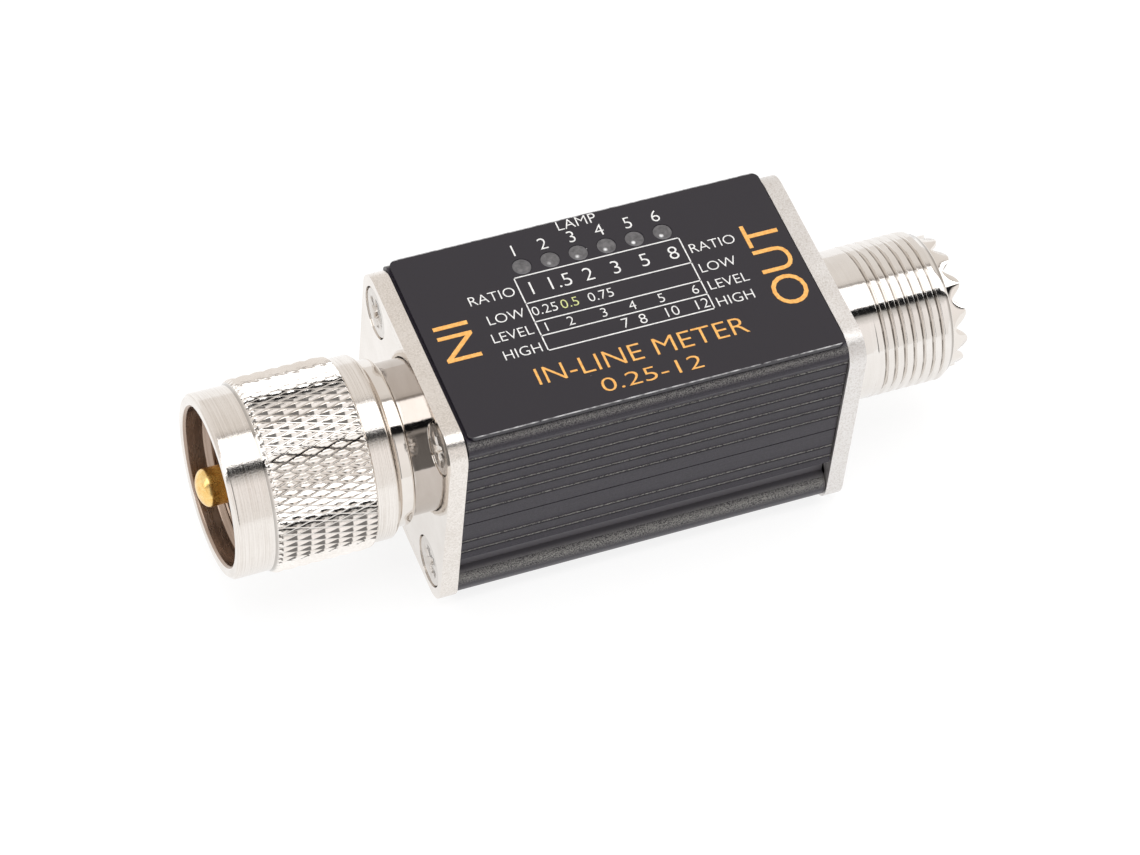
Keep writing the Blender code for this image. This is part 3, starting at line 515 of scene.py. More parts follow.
class Rule(Tree):
    """A tree of geometry nodes whose inputs are named sizes."""

    def __init__(self, name, **inputs):
        super().__init__(bpy.data.node_groups.new(name, "GeometryNodeTree"))
        self.values = inputs
        self.tree.interface.new_socket("Geometry", in_out="INPUT", socket_type="NodeSocketGeometry")
        self.tree.interface.new_socket("Geometry", in_out="OUTPUT", socket_type="NodeSocketGeometry")
        for label, value in inputs.items():
            self.tree.interface.new_socket(label, in_out="INPUT", socket_type=SOCKET_KINDS[type(value)])
        start = self.tree.nodes.new("NodeGroupInput")
        self.given = {socket.name: Flow(self, socket) for socket in start.outputs if socket.name}
        self.end = self.tree.nodes.new("NodeGroupOutput")

    def around(self):
        """Where a point is: its station, angle and distance, then how far it is beside and above the line."""
        x, y, z = self.split(self.node("GeometryNodeInputPosition"))
        up = z - AXIS * MM
        angle = self.math("ARCTAN2", y, up)
        return x, angle, self.math("SQRT", y * y + up * up), y, up

    def zigzag(self, value):
        """0 at whole numbers, 1 halfway between them."""
        return self.math("PINGPONG", value, 0.5) * 2

    def finish(self, geometry):
        """Every rule ends the same way: real geometry with its material on it."""
        real = self.node("GeometryNodeRealizeInstances", {0: geometry})
        coated = self.node("GeometryNodeSetMaterial", {"Geometry": real, "Material": self.given["Finish"]})
        self.join(coated, self.end.inputs[0])


print("a rule's input can be one of", len(SOCKET_KINDS), "kinds")


# %% Running a rule
def plain_mesh(live):
    """An object's finished shape, everything on it carried out, as a plain mesh."""
    bpy.context.view_layer.update()
    graph = bpy.context.evaluated_depsgraph_get()
    return bpy.data.meshes.new_from_object(live.evaluated_get(graph))


def follow(piece, rule, **changes):
    """Runs a rule on a piece and keeps the result as the piece's plain mesh."""
    live = piece.modifiers.new("rule", "NODES")
    live.node_group = rule.tree
    values = {**rule.values, **changes}
    for item in rule.tree.interface.items_tree:
        if item.in_out == "INPUT" and item.name in values:
            live[item.identifier] = values[item.name]
    plain = plain_mesh(piece)
    piece.modifiers.remove(live)
    plain.name = piece.name
    piece.data = plain
    return piece


print("rule maker is ready")

# %% [markdown]
# ## The knurl rule
#
# A diamond knurl is two sets of grooves wound round the nut in opposite directions, both nearly along it,
# so the diamonds are three times as long as they are wide. At any point the surface is as low as the
# nearer groove. With the angle counted in teeth and the station in rows, a groove of one set lies wherever
# their sum is a whole number, and of the other set wherever their difference is. The ends are chamfered
# after knurling, so a point is never raised: it keeps the lower of the knurl and the turned profile.

# %% Knurl
ROW, TEETH_ROUND, KNURL_TOP = 2.9, 70, 9.94


def push(rule, offset, y, up, radius, chosen):
    """Moves chosen points straight out from the signal line."""
    way = rule.bundled(0.0, y / radius * offset, up / radius * offset)
    sockets = {"Geometry": rule.given["Geometry"], "Selection": chosen, "Offset": way}
    return rule.node("GeometryNodeSetPosition", sockets)


knurl_rule = Rule("knurl_rule", Start=0.0, Pitch=ROW * MM, Teeth=TEETH_ROUND, Depth=0.36 * MM,
                  Top=KNURL_TOP * MM, Above=(KNURL_TOP - 0.5) * MM, Finish=knurl_nickel.material)
x, angle, radius, y, up = knurl_rule.around()
rows = (x - knurl_rule.given["Start"]) / knurl_rule.given["Pitch"]
turns = angle * knurl_rule.given["Teeth"] / (2 * math.pi)
first_set = knurl_rule.zigzag(turns + rows)
second_set = knurl_rule.zigzag(turns - rows)
peak = knurl_rule.math("MINIMUM", first_set, second_set)
rounded_peak = peak * (1.3 - peak * 0.3)
knurled = knurl_rule.given["Top"] + (rounded_peak - 1) * knurl_rule.given["Depth"]
sunk = knurl_rule.math("MINIMUM", knurled - radius, 0.0)
knurl_rule.finish(push(knurl_rule, sunk, y, up, radius, radius > knurl_rule.given["Above"]))
print("knurl rule has", len(knurl_rule.tree.nodes), "nodes")

# %% [markdown]
# ## The thread rule
#
# A thread is one groove wound round and round: its height depends on the station in pitches plus the
# angle in turns. The same rule cuts the socket's outer thread, pushing inwards, and the nut's inner
# thread, pushing outwards; only the sign of the depth changes. The crest is flat and the flanks are straight.

# %% Thread
THREAD_PITCH = 25.4 / 24
thread_rule = Rule("thread_rule", Start=0.0, End=0.0, Pitch=THREAD_PITCH * MM, Depth=-0.33 * MM,
                   Fade=0.5 * MM, Above=0.0, Below=1.0, Crest=0.40, Finish=thread_nickel.material)
x, angle, radius, y, up = thread_rule.around()
turns = x / thread_rule.given["Pitch"] + angle / (2 * math.pi)
flank = thread_rule.clamped(thread_rule.zigzag(turns) / thread_rule.given["Crest"] - 0.08)
after_start = (x - thread_rule.given["Start"]) / thread_rule.given["Fade"]
before_end = (thread_rule.given["End"] - x) / thread_rule.given["Fade"]
inside = thread_rule.clamped(thread_rule.math("MINIMUM", after_start, before_end))
sunk = (1 - flank) * thread_rule.given["Depth"] * inside
chosen = (radius > thread_rule.given["Above"]) * (radius < thread_rule.given["Below"])
thread_rule.finish(push(thread_rule, sunk, y, up, radius, chosen))
print("thread rule has", len(thread_rule.tree.nodes), "nodes")

# %% [markdown]
# ## The knurled nut
#
# The nut is one turned piece: a rear band, the knurled grip, a chamfer, a front band, and inside it a
# counterbore, the thread and the lip that keeps it on the plug. The rings under the knurl are an eighth
# of a row apart and there are eight steps to a tooth, so every groove runs from corner to corner of the
# mesh's squares. Each square is then cut along its lower diagonal, which leaves the grooves crisp.

# %% Nut
NUT_REAR, NUT_FRONT = -3.4, -20.4
KNURL_REAR, KNURL_FRONT, KNURL_STEP = -6.15, -6.15 - 26.5 * ROW / 8, ROW / 8
CHAMFER_END = KNURL_FRONT - 0.8
THREAD_REAR, THREAD_FRONT, THREAD_BORE = -9.3, -17.75, 7.46
nut_profile = eased([(-5.5, 7.99), (NUT_REAR, 7.99), (NUT_REAR, 9.15), (-3.75, 9.5), (-5.8, 9.5)],
                    closed=False)
nut_profile += stretch_of((-5.8, 9.5), (KNURL_REAR, KNURL_TOP), 0.12)
nut_profile += [(KNURL_REAR - i * KNURL_STEP, KNURL_TOP) for i in range(27)]
nut_profile += stretch_of((KNURL_FRONT, KNURL_TOP), (CHAMFER_END, 9.47), 0.12)
nut_profile += eased([(CHAMFER_END, 9.47), (-20.05, 9.5), (NUT_FRONT, 9.2), (NUT_FRONT, 8.45),
                      (-20.1, 8.12), (-18.3, 8.1), (THREAD_FRONT, THREAD_BORE)], closed=False)
nut_profile += stretch_of((THREAD_FRONT, THREAD_BORE), (THREAD_REAR, THREAD_BORE), THREAD_PITCH / 6)
nut_profile += eased([(THREAD_REAR, THREAD_BORE), (-8.6, 8.1), (-7.0, 8.1), (-7.0, 7.0), (-5.5, 7.0)],
                     closed=False)
nut = turned("knurled_nut", nut_profile, knurl_nickel, sides=8 * TEETH_ROUND)
follow(nut, knurl_rule, Start=at(KNURL_FRONT).x)
follow(nut, thread_rule, Start=at(THREAD_FRONT - 0.15).x, End=at(THREAD_REAR).x, Depth=0.5 * MM,
       Above=7.2 * MM, Below=7.6 * MM, Crest=0.72, Finish=knurl_nickel.material)


def cut_along_valleys(mesh, first, last):
    """Cuts the outer squares between two stations into triangles along their lower diagonals."""
    with opened(mesh) as work:
        height = {vert: math.hypot(vert.co.y, vert.co.z - AXIS * MM) for vert in work.verts}
        for face in list(work.faces):
            within = first < face.calc_center_median().x < last
            if within and len(face.verts) == 4 and height[face.verts[0]] > 9 * MM:
                a, b, c, d = face.verts
                ends = (a, c) if height[a] + height[c] < height[b] + height[d] else (b, d)
                bmesh.utils.face_split(face, *ends)


cut_along_valleys(nut.data, at(CHAMFER_END).x, at(KNURL_REAR + 0.4).x)
print("nut:", len(nut.data.polygons), "faces")
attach(nut, "coupling_nut")
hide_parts("coupling_nut")

# %% [markdown]
# The bands and the rim were turned after knurling, so they get the turned finish and only the diamonds
# keep the knurl's own. Plating hardly reaches the bore, which stays brown and dull. Faces are sorted by
# where their middle is.

# %% Three finishes on the nut
def finish_where(piece, finish, test):
    """Gives another finish to faces whose station, distance from the line and lean along it pass a test."""
    piece.data.materials.append(finish.material)
    index = len(piece.data.materials) - 1
    for face in piece.data.polygons:
        middle = face.center
        radius = math.hypot(middle.y, middle.z - AXIS * MM) / MM
        if test(middle.x / MM - FACE, radius, abs(face.normal.x)):
            face.material_index = index


BORE_EDGE = 8.3
smoothed(nut.data, 17)
finish_where(nut, turned_nickel,
             lambda x, radius, lean: radius > BORE_EDGE and not CHAMFER_END < x < KNURL_REAR + 0.3)
finish_where(nut, bore_nickel, lambda x, radius, lean: radius < BORE_EDGE and x < -6.0)
print("nut materials:", [slot.name for slot in nut.data.materials])

# %% [markdown]
# ## The ring, the pin and the insulators
#
# These are plain turned pieces. The ring is loose on the plug's neck and rides on its own body. The pin
# ends in a low dome and has a solder cup inside the case.

# %% Plain turned pieces
def dressed(piece, slot, *nodes, body="meter"):
    """Says which body carries a piece and which solids it stands for; the slot it is given is not used."""
    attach(piece, body)
    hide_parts(*nodes)
    return piece


ring_profile = [(-1.55, 7.99), (-1.55, 8.35), (-1.8, 8.6), (-3.0, 8.6), (-3.25, 8.35), (-3.25, 7.99)]
ring = turned("loose_ring", eased(ring_profile), bright_nickel)
dressed(ring, "nickel_plate", "nut_ring", body="nut_ring")

PIN_TIP, PIN_RADIUS, DOME_DEPTH = -21.6, 1.97, 1.1
rises = [math.radians(degrees) for degrees in range(8, 90, 8)]
dome = [(PIN_TIP + DOME_DEPTH * (1 - math.cos(a)), PIN_RADIUS * math.sin(a)) for a in rises]
pin_body = [(-20.4, PIN_RADIUS), (-11.6, PIN_RADIUS), (-11.6, 1.2), (3.6, 1.2), (3.6, 1.7), (8.0, 1.7),
            (8.0, 1.15), (5.0, 1.15), (5.0, 0.0)]
pin_profile = [(PIN_TIP, 0.0)] + dome + eased(pin_body, 0.06, closed=False)
pin = turned("centre_pin_gold", pin_profile, gold, sides=96, closed=False)
dressed(pin, "gold_plate", "centre_pin")

plug_filling = [(3.5, 1.3), (3.5, 3.9), (-2.1, 3.9), (-2.1, 5.5), (-11.5, 5.5), (-11.5, 1.3)]
plug_filler = turned("plug_insulator_turned", eased(plug_filling), insulator, sides=96)
dressed(plug_filler, "white_insulator", "plug_insulator")
SOCKET_BACK = SOCKET_FACE - FLANGE_THICK
socket_filling = [(SOCKET_FACE + 7.15, 3.0), (SOCKET_FACE + 7.15, 6.3), (SOCKET_FACE + 0.9, 6.3),
                  (SOCKET_FACE + 0.9, 3.9), (SOCKET_BACK - 2.0, 3.9), (SOCKET_BACK - 2.0, 3.0)]
socket_filler = turned("socket_insulator_turned", eased(socket_filling), insulator, sides=96)
dressed(socket_filler, "white_insulator", "socket_insulator")
print("turned:", ring.name, pin.name, plug_filler.name, socket_filler.name)

# %% [markdown]
# ## Square flanges with countersunk holes
#
# A flange is a rounded square with a hole at each corner. A flat curve with five closed outlines fills
# itself between them, so no cutting is needed. Its edges get a narrow bevel, wide enough to hold a line
# of light. The plug flange's outer edges are scuffed, so they get a grainier nickel than its face.

# %% Outlines with round corners
CORNER, HOLE_OFFSET, HOLE_RADIUS = 2.8, 9.1, 2.78
HOLE_PLACES = [(sy * HOLE_OFFSET, sz * HOLE_OFFSET) for sz in (1, -1) for sy in (1, -1)]


def arc(centre, radius, start, end, steps=10):
    """Points along an arc, angles in degrees."""
    turn = [math.radians(start + (end - start) * i / steps) for i in range(steps + 1)]
    return [(centre[0] + radius * math.cos(t), centre[1] + radius * math.sin(t)) for t in turn]


def rounded(width, height, corner, steps=10):
    """A rectangle's outline with round corners."""
    a, b = width / 2 - corner, height / 2 - corner
    middles = ((a, b), (-a, b), (-a, -b), (a, -b))
    return [p for i, middle in enumerate(middles) for p in arc(middle, corner, 90 * i, 90 * i + 90, steps)]


print("a flange's outline has", len(rounded(FLANGE_SIDE, FLANGE_SIDE, CORNER)), "points")


# %% Flat pieces
def drawn(curve):
    """A curve or a piece of lettering, filled and made a plain mesh."""
    holder = bpy.data.objects.new(curve.name, curve)
    bpy.context.scene.collection.objects.link(holder)
    mesh = plain_mesh(holder)
    bpy.data.objects.remove(holder)
    return mesh


def sheet_mesh(name, outlines, thick, bevel=0.0):
    """A flat piece in millimetres, filled between closed outlines, as a mesh centred on its own thickness."""
    curve = bpy.data.curves.new(name, "CURVE")
    curve.dimensions = "2D"
    curve.fill_mode = "BOTH"
    curve.extrude = thick / 2
    for outline in outlines:
        spline = curve.splines.new("POLY")
        spline.points.add(len(outline) - 1)
        for point, (x, y) in zip(spline.points, outline):
            point.co = (x, y, 0, 1)
        spline.use_cyclic_u = True
    mesh = drawn(curve)
    with opened(mesh) as work:
        bmesh.ops.remove_doubles(work, verts=work.verts, dist=0.001)
        bmesh.ops.recalc_face_normals(work, faces=work.faces)
        if bevel:
            rims = [edge for edge in work.edges if len(edge.link_faces) == 2 and edge.calc_face_angle() > 1.0]
            bmesh.ops.bevel(work, geom=rims, offset=bevel, segments=2, profile=0.5, affect="EDGES",
                            clamp_overlap=True)
    return mesh


def placed(mesh, place, turn=Matrix.Identity(4)):
    """Turns a mesh made in millimetres and sets it at a point."""
    mesh.transform(Matrix.Translation(place) @ turn @ Matrix.Scale(MM, 4))
    return mesh


print("flat pieces are ready")

# %% Flanges
# lays a flat drawing of y and z across the signal line
LAID_ACROSS = Matrix(((0, 0, 1, 0), (1, 0, 0, 0), (0, 1, 0, 0), (0, 0, 0, 1)))


def flange(name, middle, finish):
    """One flange, its holes a little wider than the screws' heads."""
    holes = [arc(place, HOLE_RADIUS, 0, 348, 29) for place in HOLE_PLACES]
    mesh = sheet_mesh(name, [rounded(FLANGE_SIDE, FLANGE_SIDE, CORNER)] + holes, FLANGE_THICK, bevel=0.13)
    return shown(name, placed(mesh, at(middle), LAID_ACROSS), finish, angle=20)


def merged(first, *others):
    """Joins pieces into the first, keeping each one's finish."""
    for other in others:
        for m in other.data.materials:
            if first.data.materials.find(m.name) < 0:
                first.data.materials.append(m)
    with opened(first.data) as work:
        for other in others:
            lookup = [first.data.materials.find(m.name) for m in other.data.materials]
            for face in other.data.polygons:
                face.material_index = lookup[face.material_index]
            work.from_mesh(other.data)
            bpy.data.objects.remove(other)
    return first


plug_flange = flange("plug_shell", FLANGE_THICK / 2, bright_nickel)
finish_where(plug_flange, edge_nickel, lambda x, radius, lean: radius > FLANGE_SIDE / 2 - 0.5 and lean < 0.9)
socket_flange = flange("socket_shell", SOCKET_FACE - FLANGE_THICK / 2, cast_nickel)
print("flanges:", len(plug_flange.data.polygons), "faces each")

# %% [markdown]
# ## The plug's turned body
#
# Out from the flange come the thick neck that carries the ring and the nut, a waist for the nut's lip, the
# collar that stops the nut, and the thin skirt round the pin.

# %% Plug body
NECK = 7.9
thick_neck = [(FLANGE_THICK - 0.3, 4.0), (FLANGE_THICK - 0.3, NECK), (-4.6, NECK)]
waist_and_collar = [(-4.6, 6.92), (-9.6, 6.92), (-9.6, 7.3), (-10.6, 7.3)]
skirt = [(-10.6, 6.3), (-16.8, 6.3), (-16.8, 5.6), (-2.0, 5.6), (-2.0, 4.0)]
plug_neck = turned("plug_neck", eased(thick_neck + waist_and_collar + skirt), neck_nickel)
plug_shell = merged(plug_flange, plug_neck)
dressed(plug_shell, "nickel_plate", "plug_body")
print("plug shell:", len(plug_shell.data.polygons), "faces")

# %% [markdown]
# ## The socket's threaded barrel
#
# The barrel's outside carries the thread, and its rim is cut into teeth that keep a plug from turning.
# The thread is the same rule as before with a negative depth. The teeth have a rule of their own: the
# rim's points are drawn back by a wave that goes round fourteen times. The rings under the thread are a
# twentieth of a pitch apart, which keeps its crests and flanks crisp. The teeth and the bore lie nearer
# to the signal line than the thread's valley, so they are given back the bright finish at the end.

# %% Teeth
teeth_rule = Rule("teeth_rule", Start=0.0, Count=14, Depth=1.25 * MM, Finish=thread_nickel.material)
x, angle, radius, y, up = teeth_rule.around()
wave = teeth_rule.math("COSINE", angle * teeth_rule.given["Count"]) * 0.5 + 0.5
back = (wave ** 0.62 - 1) * teeth_rule.given["Depth"]
drawn_back = {"Geometry": teeth_rule.given["Geometry"], "Selection": x > teeth_rule.given["Start"],
              "Offset": teeth_rule.bundled(back, 0.0, 0.0)}
teeth_rule.finish(teeth_rule.node("GeometryNodeSetPosition", drawn_back))
print("teeth rule has", len(teeth_rule.tree.nodes), "nodes")

# %% Barrel
CREST_START, CREST_END, CREST = SOCKET_FACE + 4.55, SOCKET_FACE + 12.55, 7.93
RIM_END = SOCKET_FACE + 15.15
barrel_profile = eased([(SOCKET_BACK + 0.3, 4.0), (SOCKET_BACK + 0.3, NECK), (SOCKET_FACE + 3.9, NECK),
                        (CREST_START, CREST)], closed=False)
barrel_profile += stretch_of((CREST_START, CREST), (CREST_END, CREST), THREAD_PITCH / 20)
barrel_profile += eased([(CREST_END, CREST), (SOCKET_FACE + 13.4, 7.42), (SOCKET_FACE + 13.4, 7.0),
                         (SOCKET_FACE + 13.75, 7.0), (RIM_END - 0.06, 6.94)], closed=False)
barrel_profile += eased([(RIM_END, 6.86), (RIM_END, 6.5), (RIM_END - 0.06, 6.42), (SOCKET_FACE + 13.6, 6.4),
                         (SOCKET_FACE + 0.8, 6.4), (SOCKET_FACE + 0.8, 4.0)], 0.02, closed=False)
barrel = turned("barrel", barrel_profile, thread_nickel, sides=224)
follow(barrel, thread_rule, Start=at(CREST_START).x, End=at(SOCKET_FACE + 13.2).x, Above=7.2 * MM)
follow(barrel, teeth_rule, Start=at(RIM_END - 0.4).x)
smoothed(barrel.data, 62)
finish_where(barrel, bright_nickel, lambda x, radius, lean: radius < 7.5)
socket_shell = merged(socket_flange, barrel)
dressed(socket_shell, "satin_nickel", "socket_body")
print("barrel:", len(socket_shell.data.polygons), "faces")

# %% [markdown]
# ## The ribbed case
#
# Both halves are extrusions: one outline, pushed along the signal line. The side carries thin lips. Each
# has a narrow ledge that faces up and catches the light, and a notch under it, so from above it reads as
# a fine bright line with a dark one below. Below them the side steps in to a channel, and a round bead
# runs along the foot. Corners are eased by a few hundredths of a millimetre, because anodised edges are
# never sharp.

# %% Case outlines
RIDGE_PITCH, RIDGE_DEPTH, NOTCH_DEPTH, LEDGE_RISE = 1.665, 0.13, 0.27, 0.055
INNER_HALF, FOOT_HALF, CHANNEL_HALF = 11.0, 9.8, 11.2
BEAD_RADIUS, FOOT_RADIUS, FOOT_MIDDLE = 1.55, 2.8, -9.7
CHANNEL_RADIUS = 1.5
MIDDLE = (CASE_START + CASE_END) / 2


def side(depth, z):
    """A point on the crowned side, that far in from it."""
    return (HALF_WIDTH - depth - CROWN * (z / CASE_TOP) ** 2, z)


def ridges(start, count):
    """Thin lips going up the wall: a narrow notch, a flank, the crest, and a ledge that faces up."""
    crests = [start + i * RIDGE_PITCH for i in range(count + 1)]
    steps = ((RIDGE_DEPTH, -0.34), (NOTCH_DEPTH, -0.25), (NOTCH_DEPTH, -0.20), (0.0, 0.0),
             (RIDGE_DEPTH, LEDGE_RISE))
    return [side(depth, z + rise) for z in crests for depth, rise in steps]


def screw_channel(face, ceiling, sign):
    """The open channel in an inner corner that the screws bite into."""
    half = math.degrees(math.asin(0.4))
    ring = arc((HOLE_OFFSET, HOLE_OFFSET), CHANNEL_RADIUS, 225 - half, -135 + half, 24)
    points = [(7.0, ceiling), (7.0, 7.85)] + ring + [(7.85, 7.0), (face, 7.0)]
    return [(y, sign * z) for y, z in points]


def both_sides(right):
    """The right half of an outline with its mirror image."""
    return right + [(-y, z) for y, z in reversed(right)]


print("one lip takes", len(ridges(0.0, 0)), "points")

# %% The two sections
upper_side = [(11.8, 0.05), side(RIDGE_DEPTH, 0.05)] + ridges(2.3, 5) + arc((11.14, 11.3), 1.3, 0, 90, 8)
upper_outer = eased(upper_side, 0.03, closed=False)
board_slot = [(10.2, 6.1), (INNER_HALF, 6.1), (INNER_HALF, 4.3), (10.2, 4.3)]
upper_inner = screw_channel(10.2, 11.1, 1) + board_slot
upper_inner += [(10.2, 3.5), (INNER_HALF, 3.5), (INNER_HALF, 0.9), (11.8, 0.9)]

foot = arc((HALF_WIDTH - FOOT_RADIUS, FOOT_MIDDLE), FOOT_RADIUS, -90, 0, 14)
bead = arc((HALF_WIDTH - BEAD_RADIUS, FOOT_MIDDLE), BEAD_RADIUS, 0, 90, 14)
bead_reach = CHANNEL_HALF - HALF_WIDTH + BEAD_RADIUS
bead_top = FOOT_MIDDLE + math.sqrt(BEAD_RADIUS ** 2 - bead_reach ** 2)
lower_outer = foot + [point for point in bead[1:] if point[0] > CHANNEL_HALF]
lower_outer += [(CHANNEL_HALF, bead_top), (CHANNEL_HALF, -5.35)]
lower_outer += eased([side(0, -5.35)] + ridges(-4.25, 1) + [side(RIDGE_DEPTH, -0.05)], 0.03, closed=False)
lower_inner = [(11.7, -0.05), (11.7, 0.8), (INNER_HALF, 0.8), (INNER_HALF, -3.85), (FOOT_HALF, -3.85)]
lower_inner += list(reversed(screw_channel(FOOT_HALF, 11.0, -1)))
print("half sections:", len(upper_inner + upper_outer), "and", len(lower_outer + lower_inner), "points")


# %% Case halves
def extruded(name, outline, finish):
    """A case half: its outline pushed from one flange to the other."""
    mesh = sheet_mesh(name, [both_sides(outline)], CASE_END - CASE_START)
    return shown(name, placed(mesh, at(MIDDLE), LAID_ACROSS), finish, angle=30)


case_top = extruded("case_top", upper_inner + upper_outer, anodised)
case_base = extruded("case_base", lower_outer + lower_inner, anodised)
dressed(case_top, "black_anodised", "upper_shell")
dressed(case_base, "black_anodised", "lower_shell")
print("case:", len(case_top.data.polygons), "and", len(case_base.data.polygons), "faces")

# %% [markdown]
# ## The cover plate
#
# A thin plate with round corners and six small round openings. Its upper edge is bevelled, so the near
# side shows as a thin line of light.

# %% Cover plate
LABEL_TOP, LABEL_THICK, PRINT_THICK = 13.2, 0.5, 0.03
LAMPS, LAMP_PITCH, LAMP_SIDE = 6, 3.03, 7.2
LAMP_FIRST = CASE_START + 12.75
PLATE_THICK = LABEL_THICK - PRINT_THICK
lamp_places = [(LAMP_FIRST + i * LAMP_PITCH - MIDDLE, LAMP_SIDE) for i in range(LAMPS)]
plate_outlines = [rounded(39.9, 23.6, 0.8)] + [arc(place, 1.0, 0, 352.5, 47) for place in lamp_places]
plate = sheet_mesh("cover_plate", plate_outlines, PLATE_THICK, bevel=0.045)
plate_middle = at(MIDDLE, 0, LABEL_TOP - PRINT_THICK - PLATE_THICK / 2)
cover = shown("cover_plate", placed(plate, plate_middle), film, angle=20)
dressed(cover, "label_black", "label_plate")
print("cover plate:", len(cover.data.polygons), "faces")

# %% [markdown]
# ## Lamp windows
#
# Six smoked windows in a row, one over each lamp. One window is modelled and a rule sets it along the row.
# Each shows its lamp as a faint mottled disc with a painted glint at one side, brighter from one window to
# the next. The pattern needs each window's own middle, and gets it by folding the row: the remainder after
# dividing by the pitch.

# %% Window finish
window = Finish("smoked_window_film", Specular_IOR_Level=0.5)
from_first = window.x / MM - (FACE + LAMP_FIRST)
folded = window.math("WRAP", from_first, LAMP_PITCH / 2, -LAMP_PITCH / 2)
across = window.y / MM - LAMP_SIDE
from_middle = window.distance(folded, across)
# painted glint: a pale spot at one side of each window, brighter along the row
glint_ramp = window.clamped((from_first + 0.8) / (LAMP_PITCH * LAMPS))
painted_glint = window.clamped(1.0 - window.distance(folded + 0.30, across + 0.46) / 0.27) * glint_ramp
mottle = window.pattern(0.5, detail=3.0, warp=0.5)
murk = window.mixed(mottle * 1.8 - 0.45, rgb(0.060, 0.058, 0.062), rgb(0.165, 0.160, 0.165))
rim = window.clamped(from_middle * 4 - 3.0)
shaded = window.mixed(rim, murk, rgb(0.115, 0.112, 0.118))
window.feed(Base_Color=window.mixed(painted_glint * mottle * 4.5, shaded, rgb(0.75, 0.75, 0.76)),
            Roughness=window.between(mottle, 0.14, 0.24))
window.bump(mottle, 0.012)

# %% One window, set along its row
row_rule = Rule("window_row_rule", Count=LAMPS, Pitch=LAMP_PITCH * MM, Finish=window.material)
one_step = row_rule.bundled(row_rule.given["Pitch"], 0.0, 0.0)
line = row_rule.node("GeometryNodeMeshLine", {"Count": row_rule.given["Count"], "Offset": one_step})
row = {"Points": line, "Instance": row_rule.given["Geometry"]}
row_rule.finish(row_rule.node("GeometryNodeInstanceOnPoints", row))

pane_profile = [(-0.02, 0.0), (-0.03, 0.5), (-0.05, 0.85), (-0.09, 0.965), (-0.48, 0.965), (-0.48, 0.0)]
pane = turned("lamp_windows", pane_profile, window, sides=48, closed=False)
upright = Matrix.Rotation(-math.pi / 2, 4, "Y") @ Matrix.Translation(-at(0))
pane.data.transform(Matrix.Translation(at(LAMP_FIRST, LAMP_SIDE, LABEL_TOP)) @ upright)
follow(pane, row_rule)
dressed(pane, "smoked_window", *[f"lamp_window_{i}" for i in range(1, LAMPS + 1)])
print("windows:", len(pane.data.polygons), "faces in", LAMPS, "windows")

# %% [markdown]
# ## The print
#
# The print is made of Blender's own lettering, turned to mesh, plus thin strips for the table's lines.
# The words are plain ones and the numbers are those of a scale. Each word is sized by the height of its
# capitals and, where it has to fill a space, by its width.

# %% Lettering
CAPITAL = 0.729         # a capital's height, as a share of the type size
THIN, BOLD = -0.011, -0.004
PRINT_MIDDLE = LABEL_TOP - PRINT_THICK / 2


def word(text, x, y, height, width=None, quarter_turns=0, weight=THIN, side=0):
    """One word on the cover plate; (x, y) is its middle, its start (side 1) or its end (side -1)."""
    curve = bpy.data.curves.new(text, "FONT")
    curve.body = text
    curve.extrude = PRINT_THICK / 2
    curve.offset = weight
    curve.resolution_u = 4
    mesh = drawn(curve)
    xs = [v.co.x for v in mesh.vertices]
    ys = [v.co.y for v in mesh.vertices]
    tall = height / CAPITAL
    wide = width / (max(xs) - min(xs)) if width else tall
    middle = (max(xs) + min(xs) - side * (max(xs) - min(xs))) / 2
    centre = Vector((middle, (max(0.0, min(ys)) + min(CAPITAL, max(ys))) / 2, 0))
    mesh.transform(Matrix.Diagonal((wide, tall, 1, 1)) @ Matrix.Translation(-centre))
    return placed(mesh, at(x, y, PRINT_MIDDLE), Matrix.Rotation(quarter_turns * math.pi / 2, 4, "Z"))


print("a capital letter is", CAPITAL, "of the type size")


# %% Lines and inks
def strip(x1, y1, x2, y2, line=0.13):
    """A printed line between two points that share an x or a y."""
    grow = line / 2
    outline = [(x1 - grow, y1 - grow), (x2 + grow, y1 - grow), (x2 + grow, y2 + grow), (x1 - grow, y2 + grow)]
    return placed(sheet_mesh("line", [outline], PRINT_THICK), at(0, 0, PRINT_MIDDLE))


def printed(name, meshes, finish):
    """All the print of one ink, as one piece."""
    whole = bpy.data.meshes.new(name)
    with opened(whole) as work:
        for mesh in meshes:
            work.from_mesh(mesh)
            bpy.data.meshes.remove(mesh)
        bmesh.ops.remove_doubles(work, verts=work.verts, dist=1e-7)
    piece = shown(name, whole, finish)
    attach(piece, "meter")
    return piece


print("a line of the table is a strip", PRINT_THICK, "mm high")

# %% Words and numbers
def row_of(texts, places, y, height):
    """Words with their middles at the given stations, all on one line."""
    return [word(text, x, y, height) for text, x in zip(texts.split(), places)]


white_words = row_of("1 2 3 4 5 6", (14.55, 17.72, 20.80, 23.79, 26.89, 29.88), 9.35, 1.55)
white_words += row_of("1 1.5 2 3 5 8", (14.62, 17.7, 20.68, 23.63, 26.73, 29.85), 4.25, 1.75)
white_words += row_of("0.25 0.75", (14.91, 20.87), 1.35, 1.2)
white_words += row_of("1 2 3 4 5 6", (14.27, 16.84, 20.36, 23.39, 26.5, 30.14), -0.87, 1.2)
white_words += row_of("7 8 10 12", (21.94, 23.77, 26.95, 30.17), -2.8, 1.3)
ROW_NAMES = (("RATIO", 4.4, 4.2), ("LOW", 1.55, 1.5), ("LEVEL", -0.75, -0.84), ("HIGH", -3.1, -3.1))
white_words += [word(name, 12.85, left, 1.25, side=-1) for name, left, right in ROW_NAMES]
white_words += [word(name, 31.65, right, 1.25, side=1) for name, left, right in ROW_NAMES]
